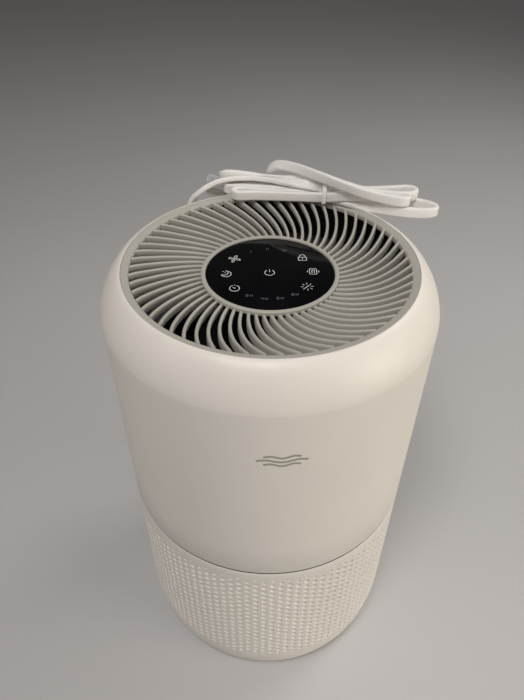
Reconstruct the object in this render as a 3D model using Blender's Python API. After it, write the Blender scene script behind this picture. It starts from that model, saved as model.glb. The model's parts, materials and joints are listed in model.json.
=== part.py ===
"""Cylindrical tower air purifier, 220 mm across and 360 mm tall, with its mains cord tied on top.

Air enters through the lower housing, crosses a ring-shaped filter, is drawn up through the
inlet plate by a backward-curved wheel and leaves through the vaned grille around the touch
panel. The filter comes out downwards behind a cover that turns in the base. The object's front
is -Y, its axis is +Z, and it stands on z = 0. Lengths are in metres.
"""

import math

import bmesh
import bpy
from mathutils import Euler, Matrix, Vector
from mathutils.geometry import interpolate_bezier

# Driving dimensions
BODY_R = 0.110
HEIGHT = 0.3593
WALL = 0.0026
GAP = 0.0004

FOOT_H = 0.0020
FOOT_IN_R = 0.0917
FOOT_OUT_R = 0.0977
FOOT_HALF = math.radians(11)
BASE_Z = FOOT_H + GAP
BASE_R = 0.1009
BASE_CURVE_Z = 0.0397
SEAM_Z = 0.1699
SEAM_GAP = 0.0014
SHOULDER_Z = 0.3316
RIM_R = 0.0939
SHOULDER_POWER = 1.546
LIP_Z = 0.3505

RING_OUT_R = RIM_R - GAP
RING_IN_R = 0.0889
HUB_R = 0.0445
PANEL_R = 0.0413
PANEL_Z = 0.3502
VANES = 60
VANE_THICK = 0.0015
VANE_DEEP = 0.0110
VANE_LEAN = math.radians(10)
VANE_START = math.radians(-164.56)
HUB_FLOOR_Z = 0.3360

OPENING_R = 0.0885
FLANGE_H = 0.0030
LUGS = 4
LUG_R = 0.0918
LUG_HALF = math.radians(7)
NOTCH_R = 0.0926
NOTCH_HALF = math.radians(9)
COVER_R = OPENING_R - GAP
COVER_SKIRT_TOP = 0.0140
GRIP_R = 0.0340
GRIP_TOP = 0.0172

FILTER_LOW = 0.0203
FILTER_HIGH = 0.1490
FILTER_R = 0.0860
FILTER_BORE_R = 0.0460
CAP_H = 0.0045
SLEEVE_R = 0.0843
PLEATS = 48

PLATE_LOW = 0.1540
PLATE_HIGH = 0.1570
PLATE_SCREW_R = 0.1015
INNER_R = BODY_R - WALL - GAP
LINER_R = 0.1036
THROAT_R = 0.0468
GUARD_LOW = 0.1503
GUARD_HIGH = 0.1527
GUARD_R = 0.0530

WHEEL_R = 0.0800
WHEEL_BACK_Z = 0.2035
WHEEL_BLADES = 11
SHAFT_R = 0.0040
BORE_R = SHAFT_R + 0.0003

MOTOR_R = 0.0380
MOTOR_LOW = 0.2140
MOTOR_HIGH = 0.2520
CUP_R = 0.0560
CUP_LOW = 0.2220
CUP_HIGH = 0.2610
CUP_WALL = 0.0025
STATORS = 9
FIXING_R = 0.0250

BOARD_Z = 0.2660
BOARD_HALF = 0.0320
BOARD_COVER_R = 0.0520

CORD_D = 0.0060
CORD_STEP = 0.0150
OUTLET_Z = 0.0320
LEAD_R = 0.0990
HANK_LOW = 0.3610
HANK_BEVEL = 0.3675
HANK_HIGH = 0.3750
TIE_X = 0.0440
TIE_FRONT = 0.0740
TIE_REAR = 0.0937

FINE = 48
ROUND = 28
SMALL = 10


# Materials and bodies

def make_material(name, colour, roughness, metallic=0.0, alpha=1.0):
    material = bpy.data.materials.new(name)
    material.use_nodes = True
    shader = material.node_tree.nodes["Principled BSDF"]
    shader.inputs["Base Color"].default_value = (*colour, 1.0)
    shader.inputs["Roughness"].default_value = roughness
    shader.inputs["Metallic"].default_value = metallic
    shader.inputs["Alpha"].default_value = alpha
    material.diffuse_color = (*colour, alpha)
    return material


def clear_scene():
    for thing in list(bpy.data.objects):
        bpy.data.objects.remove(thing)


def make_empty(name, parent=None):
    empty = bpy.data.objects.new(name, None)
    bpy.context.scene.collection.objects.link(empty)
    empty.parent = parent
    return empty


clear_scene()
SHELL = make_material("shell", (0.80, 0.77, 0.72), 0.45)
GRILLE = make_material("grille", (0.36, 0.35, 0.33), 0.50)
GLOSS = make_material("panel", (0.01, 0.01, 0.012), 0.08)
INNER = make_material("inner", (0.10, 0.10, 0.11), 0.60)
BOARD = make_material("board", (0.03, 0.16, 0.07), 0.50)
STEEL = make_material("steel", (0.60, 0.60, 0.61), 0.30, 1.0)
BLADE = make_material("blade", (0.78, 0.66, 0.38), 0.25, 1.0)
RUBBER = make_material("rubber", (0.03, 0.03, 0.03), 0.85)
CORD = make_material("cord", (0.82, 0.81, 0.79), 0.50)
MEDIA = make_material("media", (0.80, 0.80, 0.78), 0.95)
CARBON = make_material("carbon", (0.03, 0.03, 0.03), 0.95)
MESH = make_material("mesh", (0.12, 0.12, 0.13), 0.80)
FOAM = make_material("foam", (0.16, 0.16, 0.17), 0.95)
CLEAR = make_material("clear", (0.75, 0.80, 0.88), 0.10, 0.0, 0.35)

ROOT = make_empty("body_root")
WHEEL_AXIS = make_empty("body_impeller", ROOT)
FILTER_AXIS = make_empty("body_filter", ROOT)
COVER_AXIS = make_empty("body_filter_cover", FILTER_AXIS)


# Shape helpers

def add_object(name, bm, material, parent, smooth=True):
    bmesh.ops.recalc_face_normals(bm, faces=bm.faces)
    mesh = bpy.data.meshes.new(name)
    bm.to_mesh(mesh)
    bm.free()
    if smooth:
        mesh.shade_smooth()
        mesh.set_sharp_from_angle(angle=math.radians(35))
    mesh.materials.append(material)
    thing = bpy.data.objects.new(name, mesh)
    bpy.context.scene.collection.objects.link(thing)
    thing.parent = parent
    return thing


def polar(radius, angle, height=0.0):
    return Vector((radius * math.cos(angle), radius * math.sin(angle), height))


def spin_outline(bm, outline, steps):
    """Adds the closed outline of (radius, height) points, turned about +Z, as one closed skin."""
    ring = [bm.verts.new((radius, 0, height)) for radius, height in outline]
    pairs = zip(ring, ring[1:] + ring[:1])
    edges = [
        bm.edges.new(pair)
        for pair in pairs
        if pair[0].co.xy.length > 1e-6 or pair[1].co.xy.length > 1e-6
    ]
    bmesh.ops.spin(
        bm, geom=ring + edges, cent=(0, 0, 0), axis=(0, 0, 1), dvec=(0, 0, 0),
        angle=math.tau, steps=steps, use_merge=True, use_duplicate=False,
    )
    bmesh.ops.remove_doubles(bm, verts=bm.verts, dist=1e-6)


def turned(name, outline, steps, material, parent):
    bm = bmesh.new()
    spin_outline(bm, outline, steps)
    return add_object(name, bm, material, parent)


def extrude_outline(bm, outline, low, high):
    """Adds the closed outline of (x, y) points as a prism between two heights."""
    face = bm.faces.new([bm.verts.new((x, y, low)) for x, y in outline])
    raised = bmesh.ops.extrude_face_region(bm, geom=[face])["geom"]
    moved = [item for item in raised if isinstance(item, bmesh.types.BMVert)]
    bmesh.ops.translate(bm, verts=moved, vec=(0, 0, high - low))


def prism(name, outline, low, high, material, parent, smooth=False):
    bm = bmesh.new()
    extrude_outline(bm, outline, low, high)
    return add_object(name, bm, material, parent, smooth)


def sector(inner, outer, middle, half, steps):
    """Outline of a ring's sector as (x, y) points."""
    angles = [middle - half + 2 * half * i / steps for i in range(steps + 1)]
    points = [polar(outer, a) for a in angles] + [polar(inner, a) for a in reversed(angles)]
    return [(p.x, p.y) for p in points]


def circle(centre, radius, steps=SMALL):
    points = [polar(radius, math.tau * i / steps) for i in range(steps)]
    return [(centre[0] + p.x, centre[1] + p.y) for p in points]


def rectangle(x_low, x_high, y_low, y_high):
    return [(x_low, y_low), (x_high, y_low), (x_high, y_high), (x_low, y_high)]


def loft(bm, sections):
    """Adds a closed skin through loops of points that all have the same number of points."""
    loops = [[bm.verts.new(point) for point in section] for section in sections]
    count = len(loops[0])
    for near, far in zip(loops, loops[1:]):
        for i in range(count):
            j = (i + 1) % count
            bm.faces.new((near[i], near[j], far[j], far[i]))
    bm.faces.new(loops[0])
    bm.faces.new(list(reversed(loops[-1])))


def combine(target, tool, operation):
    """Joins a hidden tool object to the target, or cuts it away, with a Boolean modifier."""
    modifier = target.modifiers.new(tool.name, "BOOLEAN")
    modifier.operation = operation
    modifier.object = tool


def tool_object(name, build):
    """A helper object whose mesh is filled by build(bm)."""
    bm = bmesh.new()
    build(bm)
    tool = add_object(name, bm, SHELL, ROOT, smooth=False)
    tool.hide_render = True
    tool.display_type = "WIRE"
    return tool


def smooth_route(points, step):
    """Points about one step apart on a smooth curve through the route's own points."""
    route = [Vector(point) for point in points]
    fine = [route[0]]
    for i in range(len(route) - 1):
        before = route[max(i - 1, 0)]
        after = route[min(i + 2, len(route) - 1)]
        a, b = route[i], route[i + 1]
        length = (b - a).length
        tangent_a = (b - before).normalized() * length / 3
        tangent_b = (after - a).normalized() * length / 3
        fine += interpolate_bezier(a, a + tangent_a, b - tangent_b, b, 24)[1:]
    total = sum((b - a).length for a, b in zip(fine, fine[1:]))
    count = max(2, round(total / step))
    spaced, walked, target = [fine[0]], 0.0, 1
    for a, b in zip(fine, fine[1:]):
        length = (b - a).length
        while target < count and walked + length >= target * total / count:
            spaced.append(a.lerp(b, (target * total / count - walked) / length))
            target += 1
        walked += length
    return spaced + [fine[-1]]


def tube(name, points, diameter, material, parent, step=CORD_STEP, resolution=2):
    curve = bpy.data.curves.new(name, "CURVE")
    curve.dimensions = "3D"
    curve.bevel_depth = diameter / 2
    curve.bevel_resolution = resolution
    curve.use_fill_caps = True
    route = smooth_route(points, step)
    spline = curve.splines.new("POLY")
    spline.points.add(len(route) - 1)
    for knot, place in zip(spline.points, route):
        knot.co = (*place, 1.0)
    curve.materials.append(material)
    thing = bpy.data.objects.new(name, curve)
    bpy.context.scene.collection.objects.link(thing)
    thing.parent = parent
    return thing


# Housing

def shoulder(steps):
    """The rounded top edge, from the straight wall up to the rim, as (radius, height)."""
    power = 2 / SHOULDER_POWER
    points = []
    for i in range(steps + 1):
        angle = math.pi / 2 * i / steps
        radius = RIM_R + (BODY_R - RIM_R) * max(math.cos(angle), 0.0) ** power
        points.append((radius, SHOULDER_Z + (HEIGHT - SHOULDER_Z) * math.sin(angle) ** power))
    return points


def make_upper_housing():
    low = SEAM_Z + SEAM_GAP / 2
    inner = BODY_R - WALL
    inside = [
        (RIM_R, LIP_Z), (0.0968, LIP_Z), (0.1012, 0.3455), (0.1052, 0.3385),
        (inner, 0.3290), (inner, low),
    ]
    turned("upper_housing", [(BODY_R, low)] + shoulder(6) + inside, FINE, SHELL, ROOT)


def base_curve(steps):
    """The rounded lower edge, from the flat base up to the straight wall."""
    rise = BASE_CURVE_Z - BASE_Z
    angles = [math.pi / 2 * i / steps for i in range(steps + 1)]
    return [
        (BASE_R + (BODY_R - BASE_R) * math.sin(a), BASE_Z + rise * (1 - math.cos(a)))
        for a in angles
    ]


def make_lower_housing():
    top = SEAM_Z - SEAM_GAP / 2
    inner = BODY_R - WALL
    shelf = BASE_Z + FLANGE_H
    inside = [
        (inner, top), (inner, 0.0400), (0.1062, 0.0250), (0.1038, 0.0145),
        (0.1000, shelf), (OPENING_R, shelf), (OPENING_R, BASE_Z),
    ]
    outline = base_curve(5) + [(BODY_R, top)] + inside
    housing = turned("lower_housing", outline, FINE, SHELL, ROOT)

    def bosses(bm):
        for angle in fixing_angles():
            place = polar(0.1030, angle)
            extrude_outline(bm, circle(place, 0.0050), 0.1380, PLATE_LOW - GAP)

    def openings(bm):
        for i in range(LUGS):
            middle = math.tau * i / LUGS
            outline = sector(OPENING_R - 0.004, NOTCH_R, middle, NOTCH_HALF, 4)
            extrude_outline(bm, outline, BASE_Z - 0.002, shelf + 0.002)
        for angle in fixing_angles():
            thread = circle(polar(PLATE_SCREW_R, angle), 0.0019, 8)
            extrude_outline(bm, thread, 0.1420, PLATE_LOW + 0.002)
        gland_bore(bm, (0, 0.1060, OUTLET_Z))

    combine(housing, tool_object("housing_bosses", bosses), "UNION")
    combine(housing, tool_object("housing_openings", openings), "DIFFERENCE")


def gland_bore(bm, middle):
    """Adds a short round plug along Y, the shape of a hole for the mains lead."""
    place = Matrix.Translation(middle) @ Matrix.Rotation(math.pi / 2, 4, "X")
    bmesh.ops.create_cone(
        bm, cap_ends=True, segments=16, radius1=0.0059, radius2=0.0059, depth=0.016, matrix=place
    )


def fixing_angles():
    return [math.radians(45 + 90 * i) for i in range(4)]


def make_seam_ring():
    low, high = 0.1600, 0.1810
    outline = [(LINER_R, low), (INNER_R, low), (INNER_R, high), (LINER_R, high)]
    turned("seam_ring", outline, FINE, INNER, ROOT)


def make_feet():
    for i in range(4):
        outline = sector(FOOT_IN_R, FOOT_OUT_R, math.radians(45 + 90 * i), FOOT_HALF, 6)
        prism(f"foot_{i + 1}", outline, 0.0, FOOT_H, RUBBER, ROOT)


# Outlet grille and touch panel

def vane_top(share):
    return 0.3496 + 0.0017 * share + 0.0039 * share**2 + 0.0034 * share**3


def vane_angle(share):
    return 0.2564 * share + 0.1399 * share**2 - 0.0342 * share**3


def vane_sections(start, steps):
    """Cross-sections of one vane, from inside the hub ring to inside the outer ring."""
    sections = []
    for i in range(steps + 1):
        share = -0.012 + 1.028 * i / steps
        radius = HUB_R + (RING_IN_R - 0.0004 - HUB_R) * share
        angle = start + vane_angle(share)
        slope = (vane_angle(share + 0.01) - vane_angle(share - 0.01)) / 0.02
        along = Vector((math.cos(angle), math.sin(angle), 0)) * (RING_IN_R - HUB_R)
        along += Vector((-math.sin(angle), math.cos(angle), 0)) * radius * slope
        side = Vector((-along.y, along.x, 0)).normalized() * VANE_THICK / 2
        top = polar(radius, angle, vane_top(share))
        down = Vector((0, 0, -VANE_DEEP)) + side.normalized() * VANE_DEEP * math.tan(VANE_LEAN)
        sections.append([top - side, top + side, top + side + down, top - side + down])
    return sections


def make_outlet_grille():
    ring = [
        (RING_IN_R, 0.3450), (RING_OUT_R, 0.3450), (RING_OUT_R, 0.3583),
        (RING_OUT_R - 0.0007, 0.3590), (RING_IN_R + 0.0007, 0.3590), (RING_IN_R, 0.3583),
    ]
    grille = turned("outlet_grille", ring, FINE, GRILLE, ROOT)
    cup_in = PANEL_R + 0.0003
    cup = [
        (0.0080, HUB_FLOOR_Z), (HUB_R, HUB_FLOOR_Z), (HUB_R, 0.3506), (HUB_R - 0.0006, 0.3512),
        (cup_in + 0.0005, 0.3512), (cup_in, 0.3507), (cup_in, HUB_FLOOR_Z + 0.003),
        (0.0080, HUB_FLOOR_Z + 0.003),
    ]

    def vanes(bm):
        for k in range(VANES):
            loft(bm, vane_sections(VANE_START + math.tau * k / VANES, 3))

    combine(grille, tool_object("grille_vanes", vanes), "UNION")
    combine(grille, tool_object("grille_hub", lambda bm: spin_outline(bm, cup, ROUND)), "UNION")


def make_panel():
    edge = 0.0003
    face = [
        (0, PANEL_Z - 0.0026), (PANEL_R, PANEL_Z - 0.0026), (PANEL_R, PANEL_Z - edge),
        (PANEL_R - edge, PANEL_Z), (0, PANEL_Z),
    ]
    turned("control_panel", face, ROUND, GLOSS, ROOT)
    guide_low, guide_high = 0.3449, 0.3472
    guide = [(0, guide_low), (0.0410, guide_low), (0.0410, guide_high), (0, guide_high)]
    light_guide = turned("light_guide", guide, ROUND, SHELL, ROOT)

    def windows(bm):
        icon_ring, icon_half = 0.0280, 0.0040
        extrude_outline(bm, circle((0, 0), icon_half, 8), guide_low - 0.002, guide_high + 0.002)
        for degrees in (37, 2, -35, 143, 181, 216):
            place = polar(icon_ring, math.radians(degrees))
            extrude_outline(bm, circle(place, icon_half, 8), guide_low - 0.002, guide_high + 0.002)

    combine(light_guide, tool_object("guide_windows", windows), "DIFFERENCE")
    board = [(0, 0.3428), (0.0408, 0.3428), (0.0408, 0.3444), (0, 0.3444)]
    turned("touch_board", board, ROUND, BOARD, ROOT)
    route = [
        (0, 0, 0.3424), (0.001, 0.0005, 0.3330), (0.005, 0.004, 0.3180), (0.008, 0.008, 0.3000),
        (0.009, 0.010, 0.2850), (0.010, 0.012, BOARD_Z + 0.0022),
    ]
    tube("panel_cable", route, 0.0030, RUBBER, ROOT, step=0.010)


# Electronics

def make_electronics():
    top = 0.2960
    shell = [
        (0.0500, 0.2620), (BOARD_COVER_R, 0.2620), (BOARD_COVER_R, 0.2900), (0.0460, top),
        (0.0140, top), (0.0140, top - 0.002), (0.0452, top - 0.002), (0.0500, 0.2892),
    ]
    cover = turned("board_cover", shell, ROUND, INNER, ROOT)

    hole = tool_object("cover_lead_hole", lambda bm: gland_bore(bm, (0, 0.0510, 0.2770)))
    combine(cover, hole, "DIFFERENCE")
    half = BOARD_HALF
    board = rectangle(-half, half, -half, half)
    prism("main_board", board, BOARD_Z, BOARD_Z + 0.0016, BOARD, ROOT)
    seat = BOARD_Z + 0.0016 + GAP
    coil = rectangle(-0.028, -0.008, -0.024, -0.004)
    prism("board_transformer", coil, seat, seat + 0.016, INNER, ROOT)
    prism("board_capacitor", circle((0.018, -0.014), 0.0065), seat, seat + 0.018, INNER, ROOT, True)
    block = rectangle(-0.010, 0.004, 0.018, 0.030)
    prism("mains_terminal", block, seat, seat + 0.011, SHELL, ROOT)


def make_inner_lead():
    """The mains wires inside, from the strain relief up the wall to the terminal block."""
    route = [
        (0, 0.0990, OUTLET_Z + 0.0075), (0, 0.0990, 0.060), (0, LEAD_R, 0.120), (0, LEAD_R, 0.180),
        (0, LEAD_R, 0.235), (0, 0.0960, 0.258), (0, 0.0840, 0.2725), (0, 0.0680, 0.2770),
        (-0.001, 0.0500, 0.2770), (-0.002, 0.0310, 0.2755),
    ]
    tube("inner_lead", route, CORD_D, CORD, ROOT, step=0.014)


# Fan

def make_inlet():
    outline = [
        (INNER_R, PLATE_LOW), (INNER_R, PLATE_HIGH), (0.0580, PLATE_HIGH), (0.0495, 0.1598),
        (THROAT_R + 0.0018, 0.1660), (THROAT_R, 0.1660), (THROAT_R + 0.0017, 0.1585),
        (0.0540, PLATE_LOW),
    ]
    plate = turned("inlet_plate", outline, ROUND, INNER, ROOT)

    def holes(bm):
        low, high = PLATE_LOW - 0.002, PLATE_HIGH + 0.002
        extrude_outline(bm, circle((0, LEAD_R), 0.0042), low, high)
        for angle in fixing_angles():
            extrude_outline(bm, circle(polar(PLATE_SCREW_R, angle), 0.0022, 8), low, high)

    combine(plate, tool_object("plate_holes", holes), "DIFFERENCE")
    for i, angle in enumerate(fixing_angles()):
        place = polar(PLATE_SCREW_R, angle)
        shank = [
            (0, 0.1440), (0.0015, 0.1440), (0.0015, PLATE_HIGH + GAP), (0.0036, PLATE_HIGH + GAP),
            (0.0036, 0.1592), (0, 0.1592),
        ]
        screw = turned(f"plate_screw_{i + 1}", shank, 8, STEEL, ROOT)
        screw.location = place


def guard_ring(inner, outer):
    """Outline of one ring of the guard as (radius, height) points."""
    return [(inner, GUARD_LOW), (outer, GUARD_LOW), (outer, GUARD_HIGH), (inner, GUARD_HIGH)]


def guard_spoke(bm, index):
    """A bar across the guard. Each is a little thinner than the last, so no faces coincide."""
    made = bmesh.ops.create_cube(bm, size=1.0)
    turn = Matrix.Rotation(math.pi * index / 3, 4, "Z")
    height = GUARD_HIGH - GUARD_LOW - 0.0002 * (index + 1)
    scale = Matrix.Diagonal((2 * GUARD_R - 0.0028, 0.0022, height, 1.0))
    middle = Matrix.Translation((0, 0, (GUARD_LOW + GUARD_HIGH) / 2))
    bmesh.ops.transform(bm, matrix=middle @ turn @ scale, verts=made["verts"])


def make_inlet_guard():
    def inner_rings(bm):
        for radius in (0.0170, 0.0340):
            spin_outline(bm, guard_ring(radius - 0.001, radius + 0.001), 14)

    guard = turned("inlet_guard", guard_ring(GUARD_R - 0.0025, GUARD_R), ROUND, INNER, ROOT)
    for i in range(3):
        spoke = tool_object(f"guard_spoke_{i + 1}", lambda bm, i=i: guard_spoke(bm, i))
        combine(guard, spoke, "UNION")
    combine(guard, tool_object("guard_rings", inner_rings), "UNION")


def swept_blade(bm, inner, outer, low, high, start, sweep, thick, steps):
    """One upright blade between two radii. sweep is the angle from its inner to its outer end,
    and low may be a function of the radius."""
    sections = []
    for i in range(steps + 1):
        share = i / steps
        radius = inner + (outer - inner) * share
        angle = start + sweep * share
        along = polar(outer - inner, angle) + polar(radius * sweep, angle + math.pi / 2)
        side = Vector((-along.y, along.x, 0)).normalized() * thick / 2
        foot = low(radius) if callable(low) else low
        base = polar(radius, angle, foot)
        top = polar(radius, angle, high)
        sections.append([base - side, base + side, top + side, top - side])
    loft(bm, sections)


def shroud_height(radius):
    """Height of the wheel's front shroud over the radius."""
    return 0.1636 + (radius - 0.0510) * 0.52


def make_impeller():
    back = [
        (BORE_R, 0.1900), (0.0095, 0.1900), (0.0120, 0.2010), (WHEEL_R, WHEEL_BACK_Z),
        (WHEEL_R, WHEEL_BACK_Z + 0.002), (0.0120, 0.2075), (BORE_R, 0.2075),
    ]
    wheel = turned("impeller", back, ROUND, INNER, WHEEL_AXIS)
    lip = 0.0020
    shroud = [
        (0.0500, 0.1620), (0.0518, 0.1620), (0.0530, shroud_height(0.0530)),
        (WHEEL_R, shroud_height(WHEEL_R)), (WHEEL_R, shroud_height(WHEEL_R) + lip),
        (0.0530, shroud_height(0.0530) + lip), (0.0500, 0.1655),
    ]

    def blades(bm):
        for k in range(WHEEL_BLADES):
            swept_blade(
                bm, 0.0540, WHEEL_R - 0.0006, lambda r: shroud_height(r) + lip / 2,
                WHEEL_BACK_Z + 0.0008, math.tau * k / WHEEL_BLADES, math.radians(-34), 0.0018, 4,
            )

    combine(wheel, tool_object("wheel_blades", blades), "UNION")
    combine(wheel, tool_object("wheel_shroud", lambda bm: spin_outline(bm, shroud, ROUND)), "UNION")
    shaft = [(0, 0.1810), (SHAFT_R, 0.1810), (SHAFT_R, 0.2230), (0, 0.2230)]
    turned("motor_shaft", shaft, SMALL, STEEL, WHEEL_AXIS)
    nut = [(0.0052, 0.1832), (0.0078, 0.1832), (0.0078, 0.1895), (0.0052, 0.1895)]
    turned("impeller_nut", nut, 6, STEEL, WHEEL_AXIS)


def make_motor():
    can = [
        (0.0098, MOTOR_LOW), (0.0330, MOTOR_LOW), (MOTOR_R, MOTOR_LOW + 0.004), (MOTOR_R, 0.2440),
        (0.0330, MOTOR_HIGH), (0, MOTOR_HIGH), (0, 0.2250), (0.0048, 0.2250), (0.0048, 0.2200),
        (0.0098, 0.2200),
    ]
    motor = turned("motor", can, ROUND, STEEL, ROOT)
    places = [polar(FIXING_R, math.tau * i / 3) for i in range(3)]

    def threads(bm):
        for place in places:
            extrude_outline(bm, circle(place, 0.0020, 8), 0.2460, MOTOR_HIGH + 0.002)

    combine(motor, tool_object("motor_threads", threads), "DIFFERENCE")
    race = [(0.0044, 0.2143), (0.0094, 0.2143), (0.0094, 0.2196), (0.0044, 0.2196)]
    turned("shaft_bearing", race, 16, STEEL, ROOT)
    for i, place in enumerate(places):
        low, high = MOTOR_HIGH + GAP, CUP_HIGH - 0.003 - GAP
        grommet = [(0.0021, low), (0.0055, low), (0.0055, high), (0.0021, high)]
        turned(f"motor_grommet_{i + 1}", grommet, SMALL, RUBBER, ROOT).location = place
        seat = CUP_HIGH + GAP
        screw = [
            (0, 0.2475), (0.0016, 0.2475), (0.0016, seat), (0.0040, seat), (0.0040, 0.2634),
            (0, 0.2634),
        ]
        turned(f"motor_screw_{i + 1}", screw, 8, STEEL, ROOT).location = place
    route = [
        (0.0, 0.0, MOTOR_HIGH + GAP), (0.0, 0.0, 0.2560), (-0.001, 0.0, 0.2600),
        (-0.001, 0.0, BOARD_Z - GAP),
    ]
    tube("motor_lead", route, 0.0035, RUBBER, ROOT, step=0.004)


def make_diffuser():
    """The stator ring that turns the wheel's air upwards, with the cup that carries the motor."""
    low, high = 0.2150, CUP_HIGH
    ring = [(LINER_R, low), (INNER_R, low), (INNER_R, high), (LINER_R, high)]
    diffuser = turned("air_diffuser", ring, FINE, INNER, ROOT)
    cup = [
        (CUP_R - CUP_WALL, CUP_LOW), (CUP_R, CUP_LOW), (CUP_R, CUP_HIGH), (0.0080, CUP_HIGH),
        (0.0080, CUP_HIGH - 0.003), (CUP_R - CUP_WALL, CUP_HIGH - 0.003),
    ]

    def stators(bm):
        for k in range(STATORS):
            swept_blade(
                bm, CUP_R - 0.0010, 0.1045, 0.2260, 0.2580,
                math.tau * (k + 0.35) / STATORS, math.radians(16), 0.0020, 3,
            )

    def holes(bm):
        for i in range(3):
            place = polar(FIXING_R, math.tau * i / 3)
            extrude_outline(bm, circle(place, 0.0022, 8), CUP_HIGH - 0.006, CUP_HIGH + 0.002)

    combine(diffuser, tool_object("diffuser_stators", stators), "UNION")
    combine(diffuser, tool_object("diffuser_cup", lambda bm: spin_outline(bm, cup, ROUND)), "UNION")
    combine(diffuser, tool_object("diffuser_holes", holes), "DIFFERENCE")


# Filter and its cover

def make_filter():
    skirt = 0.0020
    low, high = FILTER_LOW, FILTER_HIGH
    skirt_in = SLEEVE_R + GAP
    bottom = [
        (0, low), (FILTER_R, low), (FILTER_R, low + CAP_H + skirt), (skirt_in, low + CAP_H + skirt),
        (skirt_in, low + CAP_H), (0, low + CAP_H),
    ]
    turned("filter_bottom_cap", bottom, ROUND, FOAM, FILTER_AXIS)
    top = [
        (FILTER_BORE_R, high - CAP_H), (skirt_in, high - CAP_H), (skirt_in, high - CAP_H - skirt),
        (FILTER_R, high - CAP_H - skirt), (FILTER_R, high), (FILTER_BORE_R, high),
    ]
    turned("filter_top_cap", top, ROUND, FOAM, FILTER_AXIS)
    foot, head = low + CAP_H + GAP, high - CAP_H - GAP
    pleats = []
    for i in range(2 * PLEATS):
        pleats.append(polar(0.0824 if i % 2 else 0.0785, math.pi * i / PLEATS))
    media = prism("filter_media", [(p.x, p.y) for p in pleats], foot, head, MEDIA, FILTER_AXIS)

    def core(bm):
        extrude_outline(bm, circle((0, 0), 0.0520, ROUND), foot - 0.002, head + 0.002)

    combine(media, tool_object("media_bore", core), "DIFFERENCE")
    sleeve = [(0.0835, foot), (SLEEVE_R, foot), (SLEEVE_R, head), (0.0835, head)]
    turned("prefilter_mesh", sleeve, ROUND, MESH, FILTER_AXIS)
    carbon = [(0.0480, foot), (0.0510, foot), (0.0510, head), (0.0480, head)]
    turned("carbon_layer", carbon, ROUND, CARBON, FILTER_AXIS)
    seal = [(0.0610, high + GAP), (0.0700, high + GAP), (0.0700, 0.1536), (0.0610, 0.1536)]
    turned("filter_gasket", seal, ROUND, FOAM, FILTER_AXIS)
    strap = rectangle(-0.0300, 0.0300, -0.0080, 0.0080)
    prism("filter_pull_tab", strap, 0.0181, low - GAP, MEDIA, FILTER_AXIS)


def make_filter_cover():
    low, plate_top = BASE_Z + 0.0004, 0.0054
    dish = [
        (0, low), (COVER_R - 0.0008, low), (COVER_R, low + 0.0008), (COVER_R, plate_top - 0.0004),
        (0.0873, plate_top), (0.0873, COVER_SKIRT_TOP), (0.0851, COVER_SKIRT_TOP),
        (0.0851, plate_top + 0.0002), (GRIP_R, plate_top + 0.0002), (GRIP_R, GRIP_TOP - 0.001),
        (GRIP_R - 0.001, GRIP_TOP), (0, GRIP_TOP),
    ]
    cover = turned("filter_cover", dish, FINE, SHELL, COVER_AXIS)
    shelf = BASE_Z + FLANGE_H

    def lugs(bm):
        for i in range(LUGS):
            outline = sector(0.0862, LUG_R, math.tau * i / LUGS, LUG_HALF, 3)
            extrude_outline(bm, outline, shelf + GAP, shelf + GAP + 0.0030)

    def grips(bm):
        reach, bar = GRIP_R - 0.0030, 0.0055
        edge = math.asin(bar / reach)
        for turn in (0.0, math.pi):
            angles = [turn + edge + (math.pi - 2 * edge) * i / 10 for i in range(11)]
            outline = [tuple(polar(reach, a).xy) for a in angles]
            extrude_outline(bm, outline, low - 0.002, GRIP_TOP - 0.0020)

    combine(cover, tool_object("cover_lugs", lugs), "UNION")
    combine(cover, tool_object("cover_grips", grips), "DIFFERENCE")


# Mains cord

CORD_ROUTE = [
    (0.0000, 0.1356, 0.0320), (0.0000, 0.1450, 0.0322), (-0.0020, 0.1560, 0.0370),
    (-0.0055, 0.1635, 0.0475), (-0.0105, 0.1655, 0.0620), (-0.0170, 0.1625, 0.0800),
    (-0.0240, 0.1550, 0.1010), (-0.0320, 0.1440, 0.1280), (-0.0400, 0.1330, 0.1600),
    (-0.0465, 0.1225, 0.1980), (-0.0510, 0.1140, 0.2380), (-0.0540, 0.1065, 0.2800),
    (-0.0554, 0.1015, 0.3150), (-0.0553, 0.0998, 0.3350), (-0.0540, 0.0968, 0.3470),
    (-0.0506, 0.0946, 0.3562), (-0.0450, 0.0930, 0.3622), (-0.0390, 0.0940, 0.3655),
    (-0.0328, 0.0950, 0.3677),
]
TAIL_ROUTE = [
    (0.0405, 0.0762, 0.3786), (0.0327, 0.0826, 0.3792), (0.0247, 0.0896, 0.3794),
    (0.0172, 0.0954, 0.3790), (0.0112, 0.1003, 0.3776), (0.0076, 0.1040, 0.3746),
    (0.0060, 0.1069, 0.3700), (0.0058, 0.1088, 0.3650), (0.0068, 0.1110, 0.3602),
    (0.0090, 0.1129, 0.3552), (0.0112, 0.1143, 0.3500), (0.0122, 0.1147, 0.3445),
    (0.0104, 0.1141, 0.3394), (0.0066, 0.1142, 0.3391), (0.0030, 0.1147, 0.3402),
]


def arc(centre, radius, start, end, steps):
    """Points of part of a circle in plan, between two angles in degrees."""
    angles = [math.radians(start + (end - start) * i / steps) for i in range(steps + 1)]
    return [(centre[0] + radius * math.cos(a), centre[1] + radius * math.sin(a)) for a in angles]


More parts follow.
